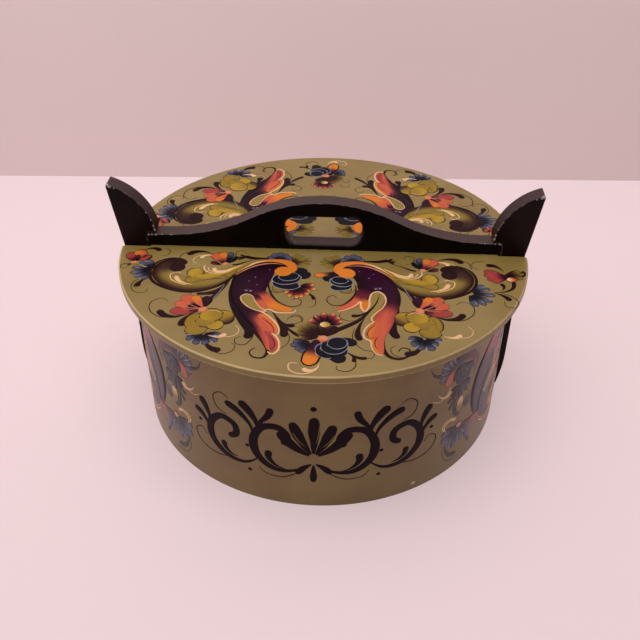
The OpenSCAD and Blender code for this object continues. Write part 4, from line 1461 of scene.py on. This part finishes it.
@dataclass(frozen=True)
class RosemalingPaint:
    """Thin oil colour under the same varnish.

    The colours come from the strokes. The streaks are those of a round brush's hairs, drawn at 0.45 mm
    so that they show.
    """

    name: str = "rosemaling_oil_colour"
    hair: float = 0.45
    pull: float = 16
    roughness: float = 0.4
    ior: float = 1.16

    def make(self) -> Material:
        """Builds the material.

        Returns:
            The material.
        """
        material, add = new_material(self.name)
        colour = add("Attribute", attribute_name="oil_colour").outputs["Color"]
        map_uv = add("UVMap", uv_map="bristles")
        drawn = add("Mapping", {"Vector": map_uv, "Scale": (1 / self.pull, 1 / self.hair, 1.0)})
        hairs = add("TexNoise", {"Vector": drawn, "Scale": 1.0, "Detail": 2.0})
        light = add("MapRange", {0: hairs, 1: 0.25, 2: 0.75, 3: 0.78, 4: 1.18})
        shown = add("VectorMath", {0: colour, 1: light}, operation="MULTIPLY")
        relief = add("Bump", {"Height": hairs, "Strength": 0.25, "Distance": 0.04 * MM})
        skin = add(
            "BsdfPrincipled",
            {"Base Color": shown, "Roughness": self.roughness, "IOR": self.ior, "Normal": relief},
        )
        add("OutputMaterial", {"Surface": skin})
        return material


class Quarter(Enum):
    """The layouts that the lid's quarters are painted in."""

    FRONT_LEFT = 0
    FRONT_RIGHT = 1
    REAR = 2


@dataclass
class Rosemaling:
    """The painting on the lid and the wall, as one piece of thin films for each area."""

    material: Material
    glossy: Material
    lid_z: float = 127.4
    middle_lift: float = 0.02
    wall_r: float = 140

    def lid_quarter(self, name: str, flip: tuple[int, int], quarter: Quarter, seed: int) -> None:
        """Paints one quarter of the lid.

        Args:
            name: The piece's name.
            flip: Which way it is mirrored from (right, rear).
            quarter: Which of the painted layouts it has.
            seed: Of the hand's unevenness.
        """
        b = Motifs(Ground(self.lid_z), seed)
        b.placings.append(Placing(flip=flip))
        still = Placing()
        groups = (
            (b.plum_scroll, (still, None, Placing(turn=-8))),
            (b.straight_scroll, (None, still, None)),
            (b.curl, (still, Placing(at=(-9, 0)), Placing(turn=-8))),
            (b.curl_leaves, (still, Placing(at=(-9, 0)), still)),
            (b.golden_scroll, (still, Placing(at=(-12.5, 0)), Placing(at=(-1, 3)))),
            (b.scroll_end, (still, None, Placing(at=(-1, 3)))),
            (b.red_flower, (still, None, Placing(at=(-3, 6)))),
            (b.side_bud, (None, still, None)),
            (b.bud, (still, Placing(at=(3, 1)), still)),
            (b.dark_flower, (still, Placing(at=(13, 48), pivot=(22, 46), size=0.8), still)),
            (b.flames, (still, None, still)),
            (b.tulip, (still, Placing(at=(-9, -6)), Placing(turn=-4))),
            (b.gold_flower, (still, Placing(at=(-4.5, -4)), Placing(at=(2, 1), turn=-2))),
            (b.flower_foot, (still, Placing(at=(-3, -2)), Placing(at=(2, 1), turn=-2))),
            (b.cream_comma, (still, Placing(at=(78.5, 104.5), pivot=(72, 111), flip=(-1, 1)),
                Placing(at=(2, 1), turn=-2))),
        )
        for motif, layouts in groups:
            if layouts[quarter.value]:
                b.group(motif, layouts[quarter.value])
        b.dry(name, "lid", self.material)

    def lid_middle(self, name: str, placing: Placing, seed: int) -> None:
        """Paints one flower on the lid's centre line.

        Args:
            name: The piece's name.
            placing: Where the flower's centre goes.
            seed: Of the hand's unevenness.
        """
        b = Motifs(Ground(self.lid_z + self.middle_lift), seed)
        b.placings.append(placing)
        b.middle_scrolls()
        b.middle_flower()
        b.dry(name, "lid", self.material)

    def wall_side(self, name: str, post_angle: float, forward: int, seed: int) -> None:
        """Paints the wall beside a post.

        Args:
            name: The piece's name.
            post_angle: Where the post stands, in degrees round the box.
            forward: 1 where the group runs from the post towards larger angles, or else -1.
            seed: Of the hand's unevenness.
        """
        b = Motifs(RoundGround(radius=self.wall_r), seed)
        b.placings.append(Placing(at=(math.radians(post_angle) * self.wall_r, 0), flip=(forward, 1)))
        small = Placing(at=(63, 38), pivot=(60, 37), turn=12, size=0.6, flip=(-1, 1))
        large = Placing(at=(56, 19), pivot=(27, 24), size=0.79)
        groups = (
            (b.scroll_end, small),
            (b.golden_scroll, small),
            (b.bud, Placing(at=(34, 96), pivot=(70, 24), turn=205, size=0.75)),
            (b.wall_scroll, Placing()),
            (b.wall_flower, Placing()),
            (b.wall_leaves, Placing()),
            (b.plum_scroll, large),
            (b.curl, large),
        )
        for motif, placing in groups:
            b.group(motif, placing)
        b.dry(name, "box", self.glossy)

    def wall_front(self, name: str, seed: int) -> None:
        """Paints the wall's front.

        Args:
            name: The piece's name.
            seed: Of the hand's unevenness.
        """
        b = Motifs(RoundGround(radius=self.wall_r), seed)
        b.placings.append(Placing(at=(-math.pi / 2 * self.wall_r, 0)))
        b.fan((0, 47), 90, 96, 5, 38, 8, SOOT, 2, None)
        b.fan((0, 43), -90, 90, 3, 19, 5, SOOT, 2, None)
        b.fan((0, 50), 90, 70, 4, 28, 0.7, OLIVE, 5, None, 0.4)
        b.dot((0, 92), 2.2, SOOT, 2)
        for side in (1, -1):
            b.placings.append(Placing(flip=(side, 1)))
            b.front_vine()
            b.placings.pop()
        b.dry(name, "box", self.material)

    def paint(self) -> None:
        """Paints the lid and the wall."""
        self.wall_front("rosemaling_wall_front", 21)
        self.wall_side("rosemaling_wall_left_front", -180, 1, 22)
        self.wall_side("rosemaling_wall_right_front", 0, -1, 23)
        self.wall_side("rosemaling_wall_left_rear", 180, -1, 24)
        self.wall_side("rosemaling_wall_right_rear", 0, 1, 25)
        self.lid_quarter("rosemaling_lid_front_left", (-1, -1), Quarter.FRONT_LEFT, 11)
        self.lid_quarter("rosemaling_lid_front_right", (1, -1), Quarter.FRONT_RIGHT, 12)
        self.lid_quarter("rosemaling_lid_rear_left", (-1, 1), Quarter.REAR, 13)
        self.lid_quarter("rosemaling_lid_rear_right", (1, 1), Quarter.REAR, 14)
        self.lid_middle("rosemaling_lid_front", Placing(at=(4.5, -112.5), flip=(-1, -1)), 15)
        self.lid_middle("rosemaling_lid_rear", Placing(at=(-3, 114), flip=(1, 1), size=0.86), 16)


# ---- modelling by hand ----

Element = bmesh.types.BMVert | bmesh.types.BMEdge | bmesh.types.BMFace
HAIRSBREADTH = 0.01 * MM


def deselect() -> None:
    """Deselects every object."""
    if bpy.context.object and bpy.context.object.mode != "OBJECT":
        bpy.ops.object.mode_set(mode="OBJECT")
    bpy.ops.object.select_all(action="DESELECT")


def begin(name: str) -> Object:
    """Names the primitive just added, settles its place into its mesh and opens it in edit mode.

    Args:
        name: The piece's name.

    Returns:
        The object, with nothing selected in edit mode.
    """
    piece = bpy.context.object
    piece.name = piece.data.name = name
    bpy.ops.object.transform_apply(location=True, rotation=True, scale=True)
    bpy.ops.object.mode_set(mode="EDIT")
    bpy.ops.mesh.select_all(action="DESELECT")
    return piece


def pick(piece: Object, mode: str, test: Callable[[Element], bool]) -> None:
    """Selects what passes a test, in edit mode.

    Args:
        piece: The object in edit mode.
        mode: "VERT", "EDGE" or "FACE".
        test: Says whether an element is wanted.
    """
    bpy.ops.mesh.select_mode(type=mode)
    bpy.ops.mesh.select_all(action="DESELECT")
    mesh = bmesh.from_edit_mesh(piece.data)
    wanted = [e for e in {"VERT": mesh.verts, "EDGE": mesh.edges, "FACE": mesh.faces}[mode] if test(e)]
    for element in wanted:
        element.select_set(True)
    mesh.select_flush_mode()
    bmesh.update_edit_mesh(piece.data)


def drawn_on(shift: Spot) -> None:
    """Extrudes what is selected by a shift in millimetres."""
    bpy.ops.mesh.extrude_region_move(TRANSFORM_OT_translate={"value": Vector(shift) * MM})


def modify(piece: Object, kind: str, **settings: object) -> None:
    """Adds one modifier in object mode and applies it.

    Args:
        piece: The object.
        kind: The modifier's type.
        settings: Its own properties.
    """
    bpy.ops.object.mode_set(mode="OBJECT")
    modifier = piece.modifiers.new(kind.lower(), kind)
    for name, value in settings.items():
        setattr(modifier, name, value)
    bpy.ops.object.modifier_apply(modifier=modifier.name)


@dataclass
class Outline:
    """A closed outline in the XZ plane, drawn from a circle's arc on by straights and arcs."""

    name: str
    centre: tuple[float, float]
    radius: float
    start: float
    end: float
    steps: int

    def __post_init__(self) -> None:
        """Adds the circle with a vertex at both ends of the arc, and cuts away the rest of it."""
        deselect()
        count = round(360 * self.steps / (self.end - self.start))
        bpy.ops.mesh.primitive_circle_add(
            vertices=count,
            radius=self.radius * MM,
            location=Vector((self.centre[0], 0, self.centre[1])) * MM,
            rotation=(math.pi / 2, 0, 0),
        )
        self.piece = begin(self.name)
        middle = math.radians(self.start + self.end) / 2
        reach = math.radians(self.end - self.start) / 2

        def beyond(vertex: bmesh.types.BMVert) -> bool:
            """Whether a vertex lies off the arc."""
            angle = math.atan2(vertex.co.z - self.centre[1] * MM, vertex.co.x - self.centre[0] * MM)
            return abs((angle - middle + math.pi) % (2 * math.pi) - math.pi) > reach

        pick(self.piece, "VERT", beyond)
        bpy.ops.mesh.delete(type="VERT")
        self.first, self.last = self.on_circle(self.start), self.on_circle(self.end)
        self.settle()

    def on_circle(self, angle: float) -> tuple[float, float]:
        """The point of the first circle at an angle in degrees."""
        a = math.radians(angle)
        return self.centre[0] + self.radius * math.cos(a), self.centre[1] + self.radius * math.sin(a)

    def settle(self) -> None:
        """Draws the trimmed arc's two ends on to their exact places, and leaves the last selected."""
        mesh = bmesh.from_edit_mesh(self.piece.data)
        for spot in (self.first, self.last):
            ends = [v.co.copy() for v in mesh.verts if len(v.link_edges) == 1]
            target = Vector((spot[0], 0, spot[1])) * MM
            closest = min(ends, key=lambda co: (co - target).length)
            pick(self.piece, "VERT", lambda v, c=closest: (v.co - c).length < HAIRSBREADTH / 100)
            bpy.ops.mesh.extrude_region_move(TRANSFORM_OT_translate={"value": target - closest})
            mesh = bmesh.from_edit_mesh(self.piece.data)

    def line(self, x: float, z: float) -> None:
        """Draws a straight on to a point."""
        drawn_on((x - self.last[0], 0, z - self.last[1]))
        self.last = (x, z)

    def arc(self, centre: tuple[float, float], turn: float, steps: int) -> None:
        """Draws an arc on.

        Args:
            centre: The arc's centre, x and z in millimetres.
            turn: The angle in degrees, positive from +X towards +Z.
            steps: How many edges it gets.
        """
        a, (x, z) = math.radians(turn), centre
        bpy.ops.mesh.spin(steps=steps, angle=a, center=Vector((x, 0, z)) * MM, axis=(0, 1, 0))
        dx, dz = self.last[0] - x, self.last[1] - z
        self.last = (x + dx * math.cos(a) - dz * math.sin(a), z + dx * math.sin(a) + dz * math.cos(a))

    def board(self, thickness: float) -> Object:
        """Closes the outline and gives it its thickness about the XZ plane.

        Args:
            thickness: Of the board.

        Returns:
            The board, in edit mode.
        """
        self.line(*self.first)
        bpy.ops.mesh.select_all(action="SELECT")
        bpy.ops.mesh.remove_doubles(threshold=HAIRSBREADTH / 2)
        bpy.ops.mesh.edge_face_add()
        bpy.ops.transform.translate(value=(0, -thickness / 2 * MM, 0))
        drawn_on((0, thickness, 0))
        bpy.ops.mesh.select_all(action="SELECT")
        bpy.ops.mesh.normals_make_consistent(inside=False)
        return self.piece


# ---- the pieces ----


def dress(node: str, material: Material) -> None:
    """Gives a CAD node its material.

    Args:
        node: The node's name.
        material: Its finish.
    """
    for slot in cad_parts[node].material_slots:
        slot.material = material
    log.info("%s: dressed in %s", node, material.name)


def finish_board(piece: Object, material: Material, body: str, node: str) -> None:
    """Smooths a wooden piece, dresses it and lets it stand for its CAD node.

    Args:
        piece: The finished shape.
        material: Its finish.
        body: The CAD body it rides on.
        node: The CAD node it stands for.
    """
    if piece.mode != "OBJECT":
        bpy.ops.object.mode_set(mode="OBJECT")
    bpy.ops.object.shade_smooth_by_angle(angle=math.radians(40))
    modify(piece, "WEIGHTED_NORMAL", keep_sharp=True, weight=100)
    piece.data.materials.clear()
    piece.data.materials.append(material)
    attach(piece, body)
    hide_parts(node)
    log.info("%s: %d faces, stands for %s", piece.name, len(piece.data.polygons), node)


@dataclass
class BentwoodWall:
    """The bent strip with its sewn lap, painted outside and bare inside `bare_r`."""

    bare_r: float = 136.3
    weld: float = 0.001
    rounding: int = 1
    paint: OilPaint = OLIVE_WALL_IN_PAINTED_SHADE
    root: BareWood = SPLIT_ROOT

    def sew(self) -> None:
        """Makes the two roots that sew the lap round and smooth, from the CAD's swept tubes."""
        deselect()
        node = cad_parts["seam_lacing"]
        roots = bpy.data.objects.new("sewn_roots", node.data.copy())
        bpy.context.scene.collection.objects.link(roots)
        roots.select_set(True)
        bpy.context.view_layer.objects.active = roots
        bpy.ops.object.mode_set(mode="EDIT")
        bpy.ops.mesh.select_all(action="SELECT")
        bpy.ops.mesh.remove_doubles(threshold=self.weld * MM)
        bpy.ops.mesh.tris_convert_to_quads()
        modify(roots, "SUBSURF", levels=self.rounding, render_levels=self.rounding)
        finish_board(roots, self.root.make(), "box", "seam_lacing")

    def build(self) -> None:
        """Dresses the wall and sews it."""
        dress("wall_band", replace(self.paint, bare_limit=self.bare_r).make())
        self.sew()


@dataclass
class BottomBoard:
    """The round pine board set inside the wall, and the pegs that hold it.

    The pegs are painted over with the wall, but for one end at the front right that has lost its
    paint: `bare_end` is its place, and how far the loss reaches.
    """

    bare_end: tuple[float, float, float, float] = (70, -121.2, 8, 4)
    board: BareWood = PINE_BOARD
    peg: OilPaint = OLIVE_PEG

    def build(self) -> None:
        """Dresses the board and its pegs."""
        dress("bottom_board", self.board.make())
        dress("bottom_pegs", replace(self.peg, chips=(self.bare_end,)).make())


@dataclass
class SnapPost:
    """A sprung post: a straight shank outside the wall, a notch over its rim and a horn-shaped head
    that hooks over the handle's end. Drawn for the right side."""

    side: int
    thickness: float = 13
    inner_x: float = 140.3
    outer_x: float = 147
    neck_x: float = 130.6
    notch_z: float = 122.3
    hook: tuple[float, float] = (123.6, 138.6)
    height: float = 177
    lean: float = 8.5
    bend_r: float = 150
    bend_z: float = 107.4
    horn_r: float = 44.7
    foot_z: float = 4
    foot_taper: float = 36
    foot_r: float = 140
    tip_r: float = 2.6
    ease: float = 0.9
    weld: float = 0.04
    paint: OilPaint = PLUM_POST
    peg: BareWood = PEG_END

    @property
    def name(self) -> str:
        """Which post it is."""
        return "left_post" if self.side < 0 else "right_post"

    def outline(self) -> Outline:
        """Draws the post's outline.

        Returns:
            The outline, from the horn's arc down the inside to the foot and back up the outside.
        """
        lean = math.radians(self.lean)
        lean_x = self.outer_x + self.bend_r * (1 - math.cos(lean))
        lean_z = self.bend_z + self.bend_r * math.sin(lean)
        tip_x = lean_x + (self.height - lean_z) * math.tan(lean)
        dx, dz = tip_x - self.hook[0], self.height - self.hook[1]
        rise = math.sqrt(self.horn_r**2 - (dx * dx + dz * dz) / 4)
        chord = math.hypot(dx, dz)
        cx = (self.hook[0] + tip_x) / 2 + rise * dz / chord
        cz = (self.hook[1] + self.height) / 2 - rise * dx / chord
        start = math.degrees(math.atan2(self.height - cz, tip_x - cx))
        end = 180 + math.degrees(math.atan2(cz - self.hook[1], cx - self.hook[0]))
        low = math.asin((self.foot_taper - self.foot_z) / self.foot_r)
        outline = Outline(self.name + "_board", (cx, cz), self.horn_r, start, end, 30)
        outline.line(self.neck_x, self.hook[1])
        outline.line(self.neck_x, self.notch_z)
        outline.line(self.inner_x, self.notch_z)
        outline.line(self.inner_x, self.foot_z)
        outline.line(self.outer_x - self.foot_r * (1 - math.cos(low)), self.foot_z)
        outline.arc((self.outer_x - self.foot_r, self.foot_taper), math.degrees(low), 10)
        outline.line(self.outer_x, self.bend_z)
        outline.arc((self.outer_x + self.bend_r, self.bend_z), -self.lean, 8)
        return outline

    def on_tip(self, edge: bmesh.types.BMEdge) -> bool:
        """Whether an edge of the board is the one at the horn's tip."""
        return all(v.co.z > self.height * MM - HAIRSBREADTH for v in edge.verts)

    def build(self) -> None:
        """Saws the post, rounds the horn's tip, eases the arrises and turns it for the left side."""
        post = self.outline().board(self.thickness)
        pick(post, "EDGE", self.on_tip)
        bpy.ops.mesh.bevel(offset=self.tip_r * MM, segments=5, profile=0.5)
        bpy.ops.object.mode_set(mode="OBJECT")
        modify(post, "BEVEL", width=self.ease * MM, segments=3, limit_method="ANGLE",
            angle_limit=math.radians(40))
        bpy.ops.object.mode_set(mode="EDIT")
        bpy.ops.mesh.select_all(action="SELECT")
        bpy.ops.mesh.remove_doubles(threshold=self.weld * MM)
        bpy.ops.mesh.dissolve_degenerate(threshold=self.weld * MM)
        if self.side < 0:
            bpy.ops.mesh.select_all(action="SELECT")
            bpy.ops.transform.rotate(value=math.pi, orient_axis="Z", center_override=(0, 0, 0))
        bpy.ops.object.mode_set(mode="OBJECT")
        finish_board(post, self.paint.make(), self.name, self.name)
        dress(self.name + "_pegs", self.peg.make())


@dataclass
class HandleBoard:
    """The board on edge across the lid: an ogee-shaped upper edge and a hand hole with rounded rims."""

    half_l: float = 130
    thickness: float = 12.4
    base_z: float = 127.4
    middle_h: float = 38.4
    end_h: float = 9.3
    level: float = 13
    crown_r: float = 110
    grip_w: float = 57
    grip_h: float = 21.8
    grip_r: float = 9
    grip_bar: float = 4.8
    grip_ease: float = 2.4
    ease: float = 0.8
    paint: OilPaint = PLUM_HANDLE
    peg: BareWood = PEG_END

    def outline(self) -> Outline:
        """Draws the board's outline.

        Returns:
            The outline, from the crown over to the left, along the base and back up on the right.
        """
        run, rise = self.half_l - self.level, self.middle_h - self.end_h
        hollow_r = (run * run + rise * rise) / (2 * rise) - self.crown_r
        turn = math.degrees(math.asin(run / (self.crown_r + hollow_r)))
        top = self.base_z + self.end_h
        outline = Outline("handle_plank", (0, self.base_z + self.middle_h - self.crown_r), self.crown_r,
            90 - turn, 90 + turn, 48)
        outline.arc((-run, top + hollow_r), -turn, 24)
        outline.line(-self.half_l, top)
        outline.line(-self.half_l, self.base_z)
        outline.line(self.half_l, self.base_z)
        outline.line(self.half_l, top)
        outline.line(run, top)
        outline.arc((run, top + hollow_r), -turn, 24)
        return outline

    def grip_cutter(self) -> Object:
        """Makes the block that cuts the hand hole, with its four corners rounded.

        Returns:
            The block, in object mode.
        """
        deselect()
        middle = self.base_z + self.grip_bar + self.grip_h / 2
        bpy.ops.mesh.primitive_cube_add(size=1, location=(0, 0, middle * MM))
        bpy.context.object.scale = Vector((self.grip_w, self.thickness + 4, self.grip_h)) * MM
        cutter = begin("grip_cutter")
        pick(cutter, "EDGE", lambda e: abs((e.verts[0].co - e.verts[1].co).normalized().y) > 0.9)
        bpy.ops.mesh.bevel(offset=self.grip_r * MM, segments=10)
        bpy.ops.object.mode_set(mode="OBJECT")
        return cutter

    def on_grip_rim(self, edge: bmesh.types.BMEdge) -> bool:
        """Whether an edge of the board lies on the rim of the hand hole.

        Args:
            edge: The edge.

        Returns:
            True where both its ends do.
        """
        return all(
            abs(abs(v.co.y) - self.thickness / 2 * MM) < HAIRSBREADTH
            and abs(v.co.x) < (self.grip_w / 2 + 0.1) * MM
            and (self.grip_bar - 0.1) * MM < v.co.z - self.base_z * MM
            and v.co.z - self.base_z * MM < (self.grip_bar + self.grip_h + 0.1) * MM
            for v in edge.verts
        )

    def build(self) -> None:
        """Saws the board, cuts the hand hole, and eases the hole's rims and the board's arrises."""
        cutter = self.grip_cutter()
        board = self.outline().board(self.thickness)
        modify(board, "BOOLEAN", object=cutter, operation="DIFFERENCE", solver="EXACT")
        bpy.data.objects.remove(cutter)
        bpy.ops.object.mode_set(mode="EDIT")
        pick(board, "EDGE", self.on_grip_rim)
        bpy.ops.mesh.bevel(offset=self.grip_ease * MM, segments=5, profile=0.5)
        modify(board, "BEVEL", width=self.ease * MM, segments=3, limit_method="ANGLE",
            angle_limit=math.radians(50))
        finish_board(board, self.paint.make(), "lid", "handle_board")
        dress("handle_pegs", self.peg.make())


@dataclass
class LidBoard:
    """The round lid with its two slots, painted above and bare below.

    The paint ends at `bare_z`. Two lighter hairlines round the rim, at the heights of
    `rim_highlight_lines` and outside `rim_r`, are painted highlights on its arrises.
    """

    bare_z: float = 122.05
    rim_r: float = 148.7
    rim_highlight_lines: tuple[float, float] = (122.5, 127.0)
    paint: OilPaint = OLIVE_LID

    def build(self) -> None:
        """Dresses the lid."""
        paint = replace(self.paint, bare_limit=self.bare_z, rim_r=self.rim_r, rim_highlight_lines=self.rim_highlight_lines)
        dress("lid_board", paint.make())


def main() -> None:
    """Builds the scene, sub-assembly by sub-assembly."""
    logging.basicConfig(level=logging.INFO, format="%(name)s: %(message)s")
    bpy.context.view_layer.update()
    PhotoCamera().set_up()
    Studio().set_up()
    BentwoodWall().build()
    BottomBoard().build()
    SnapPost(-1).build()
    SnapPost(1).build()
    LidBoard().build()
    HandleBoard().build()
    flat, round_it = RosemalingPaint(), RosemalingPaint("rosemaling_oil_colour_under_gloss", roughness=0.34,
        ior=1.5)
    Rosemaling(flat.make(), round_it.make()).paint()


if __name__ == "__main__":
    main()
